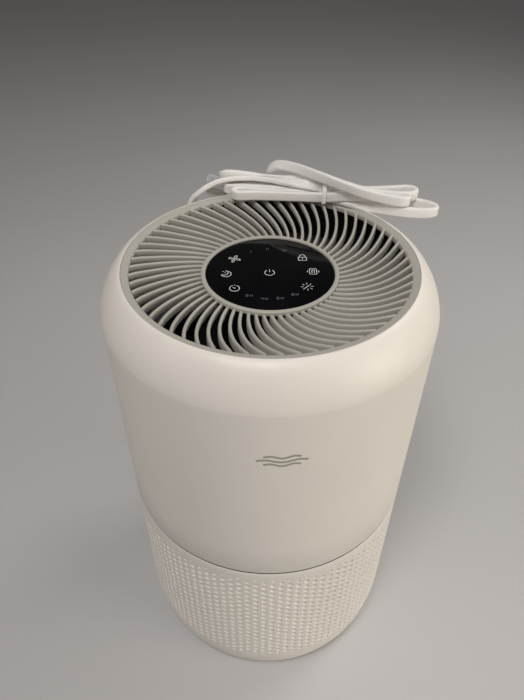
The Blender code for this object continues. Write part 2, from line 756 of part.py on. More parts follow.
def make_cord():
    outline = [
        (0, 0.1025), (0.0078, 0.1025), (0.0078, 0.1049), (0.0055, 0.1053), (0.0055, 0.1102),
        (0.0072, 0.1106), (0.0066, 0.1160), (0.0044, 0.1346), (0, 0.1346),
    ]
    gland = turned("cord_gland", outline, 16, CORD, ROOT)
    gland.rotation_euler = Euler((-math.pi / 2, 0, 0))
    gland.location = (0, 0, OUTLET_Z)
    tube("cord_tube", CORD_ROUTE, CORD_D, CORD, ROOT, step=0.016)
    tube("cord_tail", TAIL_ROUTE, CORD_D, CORD, ROOT, step=0.009)
    make_hank()
    make_tie()


def make_hank():
    """The outer shape of the folded runs, drawn in at the tie and bevelled along its back."""
    front = [(-0.0312, 0.0930)] + arc((-0.0176, 0.0860), 0.0055, 180, 270, 3)
    front += [(TIE_X, TIE_FRONT), (0.0650, 0.0645), (0.0940, 0.0536)]
    front += arc((0.1145, 0.0605), 0.0095, 260, 350, 4)
    rear = arc((0.1145, 0.0605), 0.0095, 25, 60, 2) + [(0.0900, 0.0836), (TIE_X, TIE_REAR)]
    rear += arc((-0.0262, 0.1060), 0.0050, 75, 135, 3) + [(-0.0312, 0.1045)]
    outline = front + rear
    narrowed = front + [(x, y - 0.005) for x, y in rear]
    levels = [(HANK_LOW, outline), (HANK_BEVEL, outline), (HANK_HIGH, narrowed)]
    bm = bmesh.new()
    loft(bm, [[Vector((x, y, height)) for x, y in loop] for height, loop in levels])
    add_object("cord_hank", bm, CORD, ROOT, smooth=False)


def make_tie():
    """A flat wire tie wrapped round the hank, across its runs."""
    space, slack = 0.0004, 0.0010
    half_wide, thick = 0.0013, 0.0009
    low, high = HANK_LOW - space, HANK_HIGH + space
    front, rear = TIE_FRONT - slack, TIE_REAR + slack
    inside = rectangle(front, rear, low, high)
    outside = rectangle(front - thick, rear + thick, low - thick, high + thick)
    bm = bmesh.new()
    loops = [
        [bm.verts.new((x, y, z)) for y, z in corners]
        for x in (TIE_X - half_wide, TIE_X + half_wide)
        for corners in (outside, inside)
    ]
    near_out, near_in, far_out, far_in = loops
    for i in range(4):
        j = (i + 1) % 4
        bm.faces.new((near_out[i], near_out[j], near_in[j], near_in[i]))
        bm.faces.new((far_out[i], far_in[i], far_in[j], far_out[j]))
        bm.faces.new((near_out[i], far_out[i], far_out[j], near_out[j]))
        bm.faces.new((near_in[i], near_in[j], far_in[j], far_in[i]))
    add_object("cord_tie", bm, CORD, ROOT, smooth=False)


PLUG_PLACE = (-0.0140, 0.1171, 0.3455)
PLUG_TURN = Euler((math.radians(65), math.radians(-17), math.radians(172)))


def rounded_block(x_low, x_high, half_y, half_z, trim):
    """Loops of an eight-sided block along X."""
    corners = [
        (-half_y, -half_z + trim), (-half_y + trim, -half_z), (half_y - trim, -half_z),
        (half_y, -half_z + trim), (half_y, half_z - trim), (half_y - trim, half_z),
        (-half_y + trim, half_z), (-half_y, half_z - trim),
    ]
    return [[Vector((x, y, z)) for y, z in corners] for x in (x_low, x_high)]


def make_plug():
    carrier = make_empty("plug_frame", ROOT)
    carrier.location = PLUG_PLACE
    carrier.rotation_euler = PLUG_TURN
    bm = bmesh.new()
    neck = rounded_block(-0.0170, -0.0120, 0.0042, 0.0036, 0.0014)
    body = rounded_block(-0.0105, 0.0120, 0.0098, 0.0062, 0.0026)
    loft(bm, neck + body)
    add_object("plug_body", bm, CORD, carrier)
    for i, side in enumerate((-1, 1)):
        bm = bmesh.new()
        loft(bm, rounded_block(0.0123, 0.0285, 0.00075, 0.0031, 0.0003))
        blade = add_object(f"plug_blade_{i + 1}", bm, BLADE, carrier, smooth=False)
        blade.location = (0, side * 0.00635, 0)
    bm = bmesh.new()
    outer = rounded_block(0.0124, 0.0310, 0.0090, 0.0046, 0.0012)
    inner = rounded_block(0.0300, 0.0124, 0.0080, 0.0038, 0.0008)
    make_sleeve(bm, outer, inner)
    add_object("blade_cover", bm, CLEAR, carrier, smooth=False)


def make_sleeve(bm, outer, inner):
    """A cap open at its first end: outer runs from mouth to tip, inner from tip to mouth."""
    mouth_out, tip_out = ([bm.verts.new(p) for p in loop] for loop in outer)
    tip_in, mouth_in = ([bm.verts.new(p) for p in loop] for loop in inner)
    count = len(mouth_out)
    for i in range(count):
        j = (i + 1) % count
        bm.faces.new((mouth_out[i], mouth_out[j], tip_out[j], tip_out[i]))
        bm.faces.new((tip_in[i], tip_in[j], mouth_in[j], mouth_in[i]))
        bm.faces.new((mouth_in[i], mouth_in[j], mouth_out[j], mouth_out[i]))
    bm.faces.new(tip_out)
    bm.faces.new(tip_in)


def main():
    make_upper_housing()
    make_lower_housing()
    make_seam_ring()
    make_feet()
    make_outlet_grille()
    make_panel()
    make_electronics()
    make_inner_lead()
    make_inlet()
    make_inlet_guard()
    make_impeller()
    make_motor()
    make_diffuser()
    make_filter()
    make_filter_cover()
    make_cord()
    make_plug()


main()
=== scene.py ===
"""Looks of the tower air purifier: shells, outlet grille, touch panel, filter, cord and materials,
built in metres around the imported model. +Z is up and -Y is the front. Only what stroke draws and
the plug's blocks are given in millimetres."""

import json
import math

import bmesh
import bpy
from mathutils import Euler, Matrix, Vector

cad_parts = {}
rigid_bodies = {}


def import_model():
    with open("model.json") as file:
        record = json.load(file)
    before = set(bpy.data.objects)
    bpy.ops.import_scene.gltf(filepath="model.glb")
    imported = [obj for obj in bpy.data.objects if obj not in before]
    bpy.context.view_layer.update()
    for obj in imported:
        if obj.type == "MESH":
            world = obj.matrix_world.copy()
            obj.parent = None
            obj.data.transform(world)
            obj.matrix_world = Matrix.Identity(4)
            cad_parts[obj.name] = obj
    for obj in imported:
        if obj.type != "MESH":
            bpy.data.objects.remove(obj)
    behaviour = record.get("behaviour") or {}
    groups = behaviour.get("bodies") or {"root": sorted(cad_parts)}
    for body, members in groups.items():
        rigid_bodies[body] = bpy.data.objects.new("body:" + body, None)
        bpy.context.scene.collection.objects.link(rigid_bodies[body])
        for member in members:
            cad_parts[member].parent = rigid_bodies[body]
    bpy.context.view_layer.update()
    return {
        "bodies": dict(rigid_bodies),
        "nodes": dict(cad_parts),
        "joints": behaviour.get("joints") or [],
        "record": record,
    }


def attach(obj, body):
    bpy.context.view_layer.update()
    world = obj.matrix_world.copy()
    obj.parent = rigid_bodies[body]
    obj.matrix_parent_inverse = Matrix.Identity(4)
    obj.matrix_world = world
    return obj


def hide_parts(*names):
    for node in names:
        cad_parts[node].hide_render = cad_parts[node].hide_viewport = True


MM = 0.001
UP = Vector((0, 0, 1))
ON_AXIS = 1e-6
CORNER_SHARE = 0.45

BODY_R = 0.11
WALL = 0.0026
RIM_R = 0.0939
RIM_Z = 0.3593
LEDGE_Z = 0.3505
SHELL_SHARP = 40
SHOULDER_Z = 0.3316
SHOULDER_POWER = 1.546
SEAM_LOW = 0.1692
SEAM_HIGH = 0.1706
BASE_Z = 0.0024
BASE_R = 0.1009
BASE_CURVE_Z = 0.0397
SHELF_Z = 0.0054
OPENING_R = 0.0885
NOTCH_R = 0.0926
NOTCH_HALF = math.radians(9)

RING_IN_R = 0.0889
RING_OUT_R = 0.0938
HUB_R = 0.0445
HUB_FLOOR_Z = 0.336
SHAFT_CLEAR_R = 0.008
PANEL_R = 0.0413
PANEL_Z = 0.3502
VANES = 60
VANE_THICK = 0.0021
VANE_FOOT = 0.0013
VANE_DEEP = 0.0056
VANE_DIP = 0.0006
# A vane runs from inside the hub's rim to inside the ring, in shares of the way between them.
VANE_END_R = RING_IN_R - 0.0004
VANE_FROM = -0.012
VANE_TO = 1.016
VANE_LEAN = math.radians(-6)
VANE_START = math.radians(-164.56)

OUTLET_Z = 0.032
CORD_WIDE = 0.0072
CORD_THICK = 0.0038
CORD_CORNER = 0.0012
CORD_STEP = 0.0015
CORD_WAIST = 0.0002
DECK_Z = 0.3628
ROUTE_STEPS = 24
TIE_X = 0.044
PLUG_PLACE = (-0.014, 0.1171, 0.3455)
PLUG_TURN = Euler((math.radians(65), math.radians(-17), math.radians(172)))


# Meshes

class Skin:
    """Points and faces of one mesh while it is being made."""

    def __init__(self):
        self.points = []
        self.faces = []

    def add(self, point):
        self.points.append(tuple(point))
        return len(self.points) - 1

    def ring(self, points):
        return [self.add(point) for point in points]

    def join(self, near, far, closed=True):
        """Quads between two rows of points, or a fan where one of them is a single point."""
        if len(near) == 1 and len(far) == 1:
            return
        count = max(len(near), len(far))
        for i in range(count if closed else count - 1):
            j = (i + 1) % count
            if len(near) == 1:
                self.faces.append((near[0], far[j], far[i]))
            elif len(far) == 1:
                self.faces.append((near[i], near[j], far[0]))
            else:
                self.faces.append((near[i], near[j], far[j], far[i]))

    def stack(self, rows, around=False, closed=True):
        """Joins each row to the next one, and the last to the first where they go around."""
        for near, far in zip(rows, rows[1:] + rows[:1] if around else rows[1:]):
            self.join(near, far, closed)

    def cap(self, row):
        self.faces.append(tuple(row))

    def loft(self, sections):
        rows = [self.ring(section) for section in sections]
        self.stack(rows)
        self.cap(rows[0])
        self.cap(rows[-1])

    def lathe(self, outline, steps):
        """The closed outline of (radius, height) points, turned about +Z."""
        self.stack([
            self.ring(circle(radius, height, steps if radius > ON_AXIS else 1))
            for radius, height in outline
        ], around=True)

    def prism(self, outline, low, high):
        self.loft([[(x, y, z) for x, y in outline] for z in (low, high)])

    def mesh(self, name):
        """The skin as a mesh whose faces look outwards."""
        mesh = bpy.data.meshes.new(name)
        mesh.from_pydata(self.points, [], self.faces)
        bm = bmesh.new()
        bm.from_mesh(mesh)
        bmesh.ops.recalc_face_normals(bm, faces=bm.faces)
        bm.to_mesh(mesh)
        bm.free()
        return mesh


def polar(radius, angle, height=0.0):
    return Vector((radius * math.cos(angle), radius * math.sin(angle), height))


def circle(radius, height, count, shift=0.0):
    """Evenly spaced points of a level circle; shift moves them on, in steps."""
    return [polar(radius, math.tau * (k + shift) / count, height) for k in range(count)]


def tube(inner, outer, low, high):
    """The outline of a plain ring, as (radius, height) corners."""
    return [(inner, low), (outer, low), (outer, high), (inner, high)]


def rounded(outline, radius, steps=3):
    """A closed outline with each corner replaced by a short curve, except corners on the axis."""
    corners = [Vector(point) for point in outline]
    points = []
    for i, corner in enumerate(corners):
        before, after = corners[i - 1], corners[(i + 1) % len(corners)]
        if corner.x < ON_AXIS:
            points.append(tuple(corner))
            continue
        back, ahead = before - corner, after - corner
        reach = min(radius, CORNER_SHARE * min(back.length, ahead.length))
        start, end = corner + back.normalized() * reach, corner + ahead.normalized() * reach
        for k in range(steps + 1):
            t = k / steps
            point = start * (1 - t) ** 2 + corner * 2 * t * (1 - t) + end * t**2
            points.append(tuple(point))
    return points


def add_object(name, data):
    made = bpy.data.objects.new(name, data)
    bpy.context.scene.collection.objects.link(made)
    return made


def make_piece(name, skin, look, body="root", replaces=(), sharp=32, slot=None):
    """The skin as a piece with its look and its body; the slot argument is not used."""
    mesh = skin.mesh(name)
    mesh.shade_smooth()
    mesh.set_sharp_from_angle(angle=math.radians(sharp))
    mesh.materials.append(LOOKS[look])
    piece = add_object(name, mesh)
    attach(piece, body)
    slot or look
    if replaces:
        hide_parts(*replaces)
    return piece


def turned(name, outline, steps, look, body="root", replaces=(), soften=0.0004):
    skin = Skin()
    skin.lathe(rounded(outline, soften), steps)
    return make_piece(name, skin, look, body, replaces)


def combine(target, skin, operation):
    """Joins the skin's solid to the target, or cuts it away."""
    tool = add_object("tool", skin.mesh("tool"))
    modifier = target.modifiers.new("combine", "BOOLEAN")
    modifier.operation = operation
    modifier.solver = "EXACT"
    modifier.object = tool
    graph = bpy.context.evaluated_depsgraph_get()
    mesh = bpy.data.meshes.new_from_object(target.evaluated_get(graph))
    target.modifiers.clear()
    target.data = mesh
    bpy.data.objects.remove(tool)


# Materials

class Look:
    """A node material built round one Principled shader, with object coordinates."""

    def __init__(self, name, **fixed):
        self.material = bpy.data.materials.new(name)
        self.material.use_nodes = True
        self.tree = self.material.node_tree
        self.shader = self.tree.nodes["Principled BSDF"]
        self.place = self.tree.nodes.new("ShaderNodeTexCoord").outputs["Object"]
        self.height = None
        for socket, value in fixed.items():
            self.shader.inputs[socket.replace("_", " ")].default_value = value

    def node(self, kind, **settings):
        made = self.tree.nodes.new("ShaderNode" + kind)
        for name, value in settings.items():
            if hasattr(made, name):
                setattr(made, name, value)
            else:
                made.inputs[name.replace("_", " ")].default_value = value
        return made

    def link(self, source, target):
        self.tree.links.new(source, target)

    def noise(self, scale, detail=2.0, stretch=None):
        made = self.node("TexNoise", Scale=scale, Detail=detail)
        place = self.place
        if stretch:
            mapping = self.node("Mapping")
            mapping.inputs["Scale"].default_value = stretch
            self.link(self.place, mapping.inputs["Vector"])
            place = mapping.outputs["Vector"]
        self.link(place, made.inputs["Vector"])
        return made.outputs["Fac"]

    def cells(self, scale, feature="F1"):
        made = self.node("TexVoronoi", feature=feature, Scale=scale)
        self.link(self.place, made.inputs["Vector"])
        return made.outputs["Distance"]

    def ramp(self, source, low, high):
        """Maps the middle of a noise onto a range of numbers."""
        made = self.node("MapRange", From_Min=0.3, From_Max=0.7, To_Min=low, To_Max=high)
        self.link(source, made.inputs["Value"])
        return made.outputs["Result"]

    def colours(self, source, dark, light, start=0.35, end=0.65):
        """Maps a value onto a blend of two colours, as the base colour."""
        made = self.node("ValToRGB")
        for stop, at, colour in zip(made.color_ramp.elements, (start, end), (dark, light)):
            stop.position = at
            stop.color = (*colour, 1)
        self.link(source, made.inputs["Fac"])
        self.link(made.outputs["Color"], self.shader.inputs["Base Color"])

    def roughness(self, source, low, high):
        self.link(self.ramp(source, low, high), self.shader.inputs["Roughness"])

    def bump(self, source, depth):
        """Adds one layer of relief, its depth in metres."""
        made = self.node("Bump", Distance=depth, Strength=1.0)
        self.link(source, made.inputs["Height"])
        if self.height is not None:
            self.link(self.height, made.inputs["Normal"])
        self.height = made.outputs["Normal"]
        self.link(self.height, self.shader.inputs["Normal"])


def shade(colour, amount):
    return tuple(channel * amount for channel in colour)


def moulded(name, colour, rough, grain=900.0, depth=0.00001, spread=0.03, **fixed):
    """Moulded plastic or rubber: fine grain, faint cloudiness and uneven gloss."""
    look = Look(name, **fixed)
    cloud = look.noise(14.0, 3.0)
    look.colours(cloud, shade(colour, 1 - spread), shade(colour, 1 + spread))
    look.roughness(look.noise(60.0, 4.0), rough - 0.05, rough + 0.05)
    look.bump(look.noise(grain, 2.0), depth)
    return look.material


def metal(name, colour, rough):
    look = Look(name, Metallic=1.0)
    streaks = look.noise(40.0, 4.0, (1, 1, 30))
    look.colours(streaks, shade(colour, 0.86), colour)
    look.roughness(streaks, rough - 0.06, rough + 0.08)
    look.bump(streaks, 0.00001)
    return look.material


def circuit_board(name):
    look = Look(name, Coat_Weight=0.4, Coat_Roughness=0.2)
    tracks = look.cells(260.0, "DISTANCE_TO_EDGE")
    look.colours(tracks, (0.10, 0.30, 0.12), (0.015, 0.10, 0.035), 0.04, 0.07)
    look.roughness(tracks, 0.35, 0.45)
    look.bump(tracks, 0.00003)
    return look.material


def fibre_paper(name):
    look = Look(name, Roughness=0.95, Sheen_Weight=0.25)
    fibres = look.noise(1400.0, 6.0, (1, 1, 0.25))
    look.colours(fibres, (0.74, 0.74, 0.71), (0.90, 0.90, 0.87))
    look.bump(fibres, 0.00006)
    return look.material


def granules(name):
    look = Look(name, Roughness=0.7)
    grains = look.cells(520.0)
    look.colours(grains, (0.05, 0.05, 0.052), (0.006, 0.006, 0.007), 0.1, 0.8)
    look.bump(grains, 0.0004)
    return look.material


def woven(name, colour):
    look = Look(name, Roughness=0.75, Sheen_Weight=0.2)
    strands = look.noise(2600.0, 2.0)
    look.colours(strands, shade(colour, 0.7), shade(colour, 1.3))
    look.bump(strands, 0.00005)
    return look.material


def soft_foam(name):
    look = Look(name, Roughness=0.95)
    pores = look.cells(1500.0)
    look.colours(pores, (0.05, 0.05, 0.053), (0.15, 0.15, 0.155), 0.1, 0.7)
    look.bump(pores, 0.0002)
    return look.material


def clear_plastic(name):
    look = Look(name, Roughness=0.12, IOR=1.46, Alpha=0.24)
    haze = look.noise(90.0, 3.0)
    look.colours(haze, (0.66, 0.72, 0.82), (0.76, 0.81, 0.88))
    look.roughness(haze, 0.08, 0.20)
    return look.material


def cover_glass(name):
    """Black polished plastic with the faint unevenness that bends its reflections."""
    look = Look(name, IOR=1.45, Specular_IOR_Level=0.12)
    smear = look.noise(30.0, 4.0)
    look.colours(smear, (0.002, 0.002, 0.003), (0.004, 0.004, 0.005))
    look.roughness(smear, 0.04, 0.10)
    look.bump(look.noise(18.0, 1.0), 0.00004)
    return look.material


def symbol_print(name, colour):
    look = Look(name, Roughness=0.5)
    cloud = look.noise(200.0, 2.0)
    look.colours(cloud, shade(colour, 0.94), colour)
    look.roughness(cloud, 0.42, 0.52)
    return look.material


def make_materials():
    return {
        "shell": moulded("shell_plastic", (0.82, 0.785, 0.73), 0.42, 1500.0, 0.000012, 0.012,
                         Specular_IOR_Level=0.45),
        "grille": moulded("grille_plastic", (0.44, 0.43, 0.385), 0.50, 1300.0, 0.000012, 0.02),
        "panel": cover_glass("panel_gloss"),
        "guide": moulded("guide_plastic", (0.80, 0.80, 0.78), 0.50),
        # Dark plastic of the inner parts, darkened further as painted shade in the gaps under the
        # grille; the same look fills the seam groove and the liner below the ring as painted
        # shade.
        "inner": moulded("inner_plastic_and_shade_fill", (0.006, 0.006, 0.0065), 0.60, 900.0, 0.00002, 0.10,
                         Specular_IOR_Level=0.2),
        "board": circuit_board("board_mask"),
        "steel": metal("zinc_steel", (0.62, 0.62, 0.63), 0.34),
        "blade": metal("blade_brass", (0.80, 0.68, 0.40), 0.26),
        "rubber": moulded("black_rubber", (0.03, 0.03, 0.03), 0.80, 700.0, 0.00004, 0.15),
        "wire": moulded("wire_sleeve", (0.05, 0.05, 0.06), 0.55, 900.0, 0.00002, 0.10),
        "cord": moulded("cord_jacket", (0.84, 0.83, 0.81), 0.46, 1600.0, 0.000018, 0.015,
                        Specular_IOR_Level=0.4),
        "tie": moulded("tie_plastic", (0.86, 0.86, 0.84), 0.40, 1200.0, 0.00001, 0.02),
        "clear": clear_plastic("clear_sleeve"),
        "media": fibre_paper("pleated_paper"),
        "carbon": granules("carbon_granules"),
        "mesh": woven("nylon_net", (0.10, 0.10, 0.11)),
        "cap": moulded("filter_cap_resin", (0.10, 0.10, 0.11), 0.60, 500.0, 0.00004, 0.08),
        "foam": soft_foam("seal_foam"),
        "print_bright": symbol_print("symbol_white", (0.74, 0.74, 0.73)),
        "print_blue": symbol_print("symbol_blue", (0.11, 0.14, 0.16)),
        "print_taupe": symbol_print("mark_taupe", (0.36, 0.35, 0.31)),
    }


# Housing

def shoulder(steps):
    """The rounded top edge, from the straight wall up to the rim, as (radius, height)."""
    power = 2 / SHOULDER_POWER
    points = []
    for i in range(steps + 1):
        angle = math.pi / 2 * i / steps
        radius = RIM_R + (BODY_R - RIM_R) * max(math.cos(angle), 0.0) ** power
        points.append((radius, SHOULDER_Z + (RIM_Z - SHOULDER_Z) * math.sin(angle) ** power))
    return points


def make_upper_shell():
    edge = 0.0005
    outline = [(BODY_R - edge, SEAM_HIGH), (BODY_R - edge * 0.3, SEAM_HIGH + edge * 0.3),
               (BODY_R, SEAM_HIGH + edge)]
    outline += [(BODY_R, SEAM_HIGH + 0.03 * k) for k in range(1, 6)]
    outline += shoulder(40)
    # The shoulder already rounds the rim, so the first corner's own rounding is left out.
    outline += rounded([
        (RIM_R, RIM_Z - 0.0001), (RIM_R, LEDGE_Z), (0.0968, LEDGE_Z), (0.1012, 0.3455),
        (0.1052, 0.3385), (0.1074, 0.329), (BODY_R - WALL, SEAM_HIGH),
    ], 0.0003)[3:]
    skin = Skin()
    skin.lathe(outline, 256)
    make_piece("upper_shell", skin, "shell", replaces=["upper_housing"], sharp=SHELL_SHARP)


COLUMNS = 110
ROWS = 39
ROW_STEP = 0.00337
FIRST_ROW_Z = 0.159
HOLE_SIDES = 10
HOLE_R = 0.0023
BORE_R = 0.00085
BORE_DEPTH = 0.0018
PLAIN_REACH = 0.013
GROOVE = 0.0022
LIP = 0.00022
INNER_PROFILE = [(0.10, SHELF_Z), (0.1038, 0.0145), (0.1062, 0.025), (BODY_R - WALL, 0.04)]


def wall_radius(height):
    """Outer radius of the lower shell, which curves in towards the base."""
    if height >= BASE_CURVE_Z:
        return BODY_R
    fall = 1 - (height - BASE_Z) / (BASE_CURVE_Z - BASE_Z)
    return BASE_R + (BODY_R - BASE_R) * math.sqrt(max(1 - fall**2, 0.0))


def inner_radius(height):
    """Inner radius of the lower shell."""
    for (r_low, z_low), (r_high, z_high) in zip(INNER_PROFILE, INNER_PROFILE[1:]):
        if height <= z_high:
            return r_low + (r_high - r_low) * (height - z_low) / (z_high - z_low)
    return BODY_R - WALL


def row_height(row):
    return FIRST_ROW_Z - ROW_STEP * row


def hole_scale(row):
    """The holes shrink in the two rows at the top edge and the two at the bottom edge."""
    return {0: 0.45, 1: 0.75, ROWS - 2: 0.75, ROWS - 1: 0.45}.get(row, 1.0)


def fan_between(skin, outer, inner):
    """Triangles between two closed rows of (index, direction), each sorted by direction."""
    outer, inner = (row + [(row[0][0], row[0][1] + math.tau)] for row in (outer, inner))
    i = j = 0
    while i < len(outer) - 1 or j < len(inner) - 1:
        here, there = outer[i][0], inner[j][0]
        if j == len(inner) - 1 or (i < len(outer) - 1 and outer[i + 1][1] <= inner[j + 1][1]):
            i += 1
            skin.faces.append((here, outer[i][0], there))
        else:
            j += 1
            skin.faces.append((here, inner[j][0], there))


def hole_rims(skin, angle, height, scale, turns):
    """The rows of points of one hole: its dimple's edge, and both ends of the bore in it."""
    rims = []
    for radius, depth in ((HOLE_R, 0.0), (BORE_R, BORE_DEPTH), (BORE_R, None)):
        rim = []
        for turn in turns:
            z = height + radius * scale * math.sin(turn)
            r = inner_radius(z) if depth is None else wall_radius(z) - depth * scale
            around = angle + radius * scale * math.cos(turn) / BODY_R
            rim.append(skin.add(polar(r, around, z)))
        rims.append(rim)
    return rims


def make_lower_shell():
    """The dimpled wall, a six-sided cell round each hole, then the lip, the base and a near-black
    ring in the seam's groove as painted shade.
    """
    skin = Skin()
    spacing = math.tau / COLUMNS
    corner_rows = {}
    for side, radius_at in (("out", wall_radius), ("in", inner_radius)):
        for row in range(-1, ROWS + 1):
            height = row_height(row)
            corner_rows[side, row] = skin.ring(circle(radius_at(height), height, COLUMNS, -0.5))

    half = spacing * BODY_R / 2
    directions = [math.atan2(y, x) % math.tau for x, y in (
        (half, 0), (half, ROW_STEP), (-half, ROW_STEP), (-half, 0), (-half, -ROW_STEP),
        (half, -ROW_STEP),
    )]
    turns = [math.tau * k / HOLE_SIDES for k in range(HOLE_SIDES)]
    for column in range(COLUMNS):
        angle = column * spacing
        right = (column + 1) % COLUMNS
        for row in range(column % 2, ROWS, 2):
            height = row_height(row)
            place = polar(BODY_R, angle, height)
            corners = {
                side: [corner_rows[side, row + step][at]
                       for at, step in ((right, 0), (right, -1), (column, -1), (column, 0),
                                        (column, 1), (right, 1))]
                for side in ("out", "in")
            }
            if place.y > 0 and math.hypot(place.x, height - OUTLET_Z) < PLAIN_REACH:
                skin.cap(corners["out"])
                skin.cap(list(reversed(corners["in"])))
                continue
            rims = hole_rims(skin, angle, height, hole_scale(row), turns)
            skin.stack(rims)
            for side, rim in (("out", rims[0]), ("in", rims[2])):
                fan_between(skin, list(zip(corners[side], directions)), list(zip(rim, turns)))

    # The odd columns begin and end half a cell short of the even ones, with a plain face.
    for column in range(1, COLUMNS, 2):
        right = (column + 1) % COLUMNS
        for side in ("out", "in"):
            for row in (-1, ROWS - 1):
                high, low = corner_rows[side, row], corner_rows[side, row + 1]
                skin.faces.append((high[column], high[right], low[right], low[column]))

    foot = SEAM_LOW - GROOVE
    lip = [(BODY_R, SEAM_LOW - LIP), (BODY_R - LIP * 0.3, SEAM_LOW - LIP * 0.3),
           (BODY_R - LIP, SEAM_LOW), (BODY_R - 2 * LIP, SEAM_LOW - LIP),
           (BODY_R - 2 * LIP, foot), (BODY_R - WALL, foot)]
    rows = [skin.ring(circle(radius, height, COLUMNS, -0.5)) for radius, height in lip]
    skin.stack([corner_rows["out", -1], *rows, corner_rows["in", -1]])
    make_base(skin, corner_rows, spacing)
    make_piece("lower_shell", skin, "shell", replaces=["lower_housing"], sharp=SHELL_SHARP)
    # Painted shade: a near-black ring fills the groove under the seam, standing in for the shadow
    # the upper shell casts there.
    back, front, low = BODY_R - 0.0024, BODY_R - 0.0006, foot + 0.0001
    gasket = [(back, low), (front, low), (front, SEAM_LOW - 0.0006), (back, SEAM_LOW + 0.0002)]
    turned("seam_painted_shade_ring", gasket, 220, "inner", soften=0.0001)


def make_base(skin, corner_rows, spacing):
    """The curved foot of the lower shell and its flange, notched for the lugs of the cover."""
    fine = COLUMNS * 4
    angles = [(k / 4 - 0.5) * spacing for k in range(fine)]

    def ring(radius_at, height):
        return skin.ring(polar(radius_at(a), a, height) for a in angles)

    def split(coarse, row):
        for i in range(COLUMNS):
            a, b = coarse[i], coarse[(i + 1) % COLUMNS]
            p = [row[(4 * i + k) % fine] for k in range(5)]
            skin.faces += [(a, p[0], p[1]), (a, p[1], p[2]), (a, p[2], b),
                           (b, p[2], p[3]), (b, p[3], p[4])]

    def opening(angle):
        turn = (angle + math.pi / 4) % (math.pi / 2) - math.pi / 4
        return NOTCH_R if abs(turn) <= NOTCH_HALF + 1e-4 else OPENING_R

    first = row_height(ROWS) - 0.0012
    outer = [ring(lambda a: wall_radius(z), z) for z in (
        first, 0.022, 0.018, 0.014, 0.0105, 0.0078, 0.0056, 0.004, 0.003, BASE_Z + 0.0001,
    )]
    inner = [ring(lambda a: inner_radius(z), z) for z in (first, 0.02, 0.0145, SHELF_Z)]
    split(corner_rows["out", ROWS], outer[0])
    split(corner_rows["in", ROWS], inner[0])
    edge = 0.0004
    mouth = [
        ring(lambda a: opening(a) + edge, SHELF_Z), ring(opening, SHELF_Z - edge),
        ring(opening, BASE_Z + edge), ring(lambda a: opening(a) + edge, BASE_Z),
    ]
    skin.stack([*outer, ring(lambda a: BASE_R - 0.0012, BASE_Z), *reversed(mouth),
                *reversed(inner)])


# Outlet grille

def vane_top(share):
    """Height of a vane's top edge; its last tenth dips to meet the sloping ring."""
    dip = VANE_DIP * min(max((share - 0.90) / 0.10, 0.0), 1.0) ** 2
    return 0.3496 + 0.0017 * share + 0.0039 * share**2 + 0.0034 * share**3 - dip


def vane_angle(share):
    """How far a vane has swept round, in radians, on its way out."""
    return 0.2564 * share + 0.1399 * share**2 - 0.0342 * share**3


def vane_sections(start, steps=18):
    """Cross-sections of one vane with a rounded top edge, from the hub to the outer ring."""
    half = VANE_THICK / 2
    sections = []
    for i in range(steps + 1):
        share = VANE_FROM + (VANE_TO - VANE_FROM) * i / steps
        radius = HUB_R + (VANE_END_R - HUB_R) * share
        angle = start + vane_angle(share)
        slope = (vane_angle(share + 0.01) - vane_angle(share - 0.01)) / 0.02
        along = polar(RING_IN_R - HUB_R, angle) + polar(radius * slope, angle + math.pi / 2)
        side = Vector((-along.y, along.x, 0)).normalized()
        top = polar(radius, angle, vane_top(share))
        down = (side * math.tan(VANE_LEAN) - UP) * VANE_DEEP
        turns = [math.pi * k / 6 for k in range(7)]
        section = [top + side * half * math.cos(a) + UP * half * (math.sin(a) - 1) for a in turns]
        section += [top - side * VANE_FOOT / 2 + down, top + side * VANE_FOOT / 2 + down]
        sections.append(section)
    return sections


def make_grille():
    """The ring, the panel's rim and the vanes; below the ring a near-black liner stands in as
    painted shade behind the vanes, and a dark cup sits under them.
    """
    ring_low, rim_low, rim_high = 0.354, 0.348, 0.3512
    ring = rounded([
        (RING_IN_R, ring_low), (RING_OUT_R, ring_low), (RING_OUT_R, 0.3588),
        (RING_OUT_R - 0.0003, 0.3591), (RING_IN_R, 0.3578),
    ], 0.001, 5)
    cup_in, cup_out, floor = PANEL_R + 0.0003, HUB_R - 0.0009, HUB_FLOOR_Z
    skin = Skin()
    skin.lathe(ring, 240)
    skin.lathe(rounded(tube(cup_in, HUB_R, rim_low, rim_high), 0.0008, 4), 180)
    for k in range(VANES):
        skin.loft(vane_sections(VANE_START + math.tau * k / VANES))
    make_piece("vaned_grille", skin, "grille", replaces=["outlet_grille"])
    # Painted shade: a near-black liner under the ring, so the gaps at the vanes' outer ends read
    # dark.
    low, high = 0.327, ring_low - 0.0002
    liner = [(0.0926, low), (0.0934, low), (0.0934, 0.345), (RING_OUT_R, 0.346),
             (RING_OUT_R, high), (0.0926, high)]
    turned("ring_painted_shade_liner", liner, 200, "inner", soften=0.0002)
    cup = [(SHAFT_CLEAR_R, floor), (cup_out, floor), (cup_out, rim_low - 0.0002),
           (cup_in, rim_low - 0.0002), (cup_in, floor + 0.003), (SHAFT_CLEAR_R, floor + 0.003)]
    turned("panel_cup", cup, 160, "inner")


# Touch panel

SYMBOL_TURN = math.radians(-4.4)
PRINT_LOW = -0.00002
PRINT_HIGH = 0.00006
# Line widths in millimetres, like the points of everything drawn with stroke.
SYMBOL_LINE = 0.46
MARK_LINE = 0.34


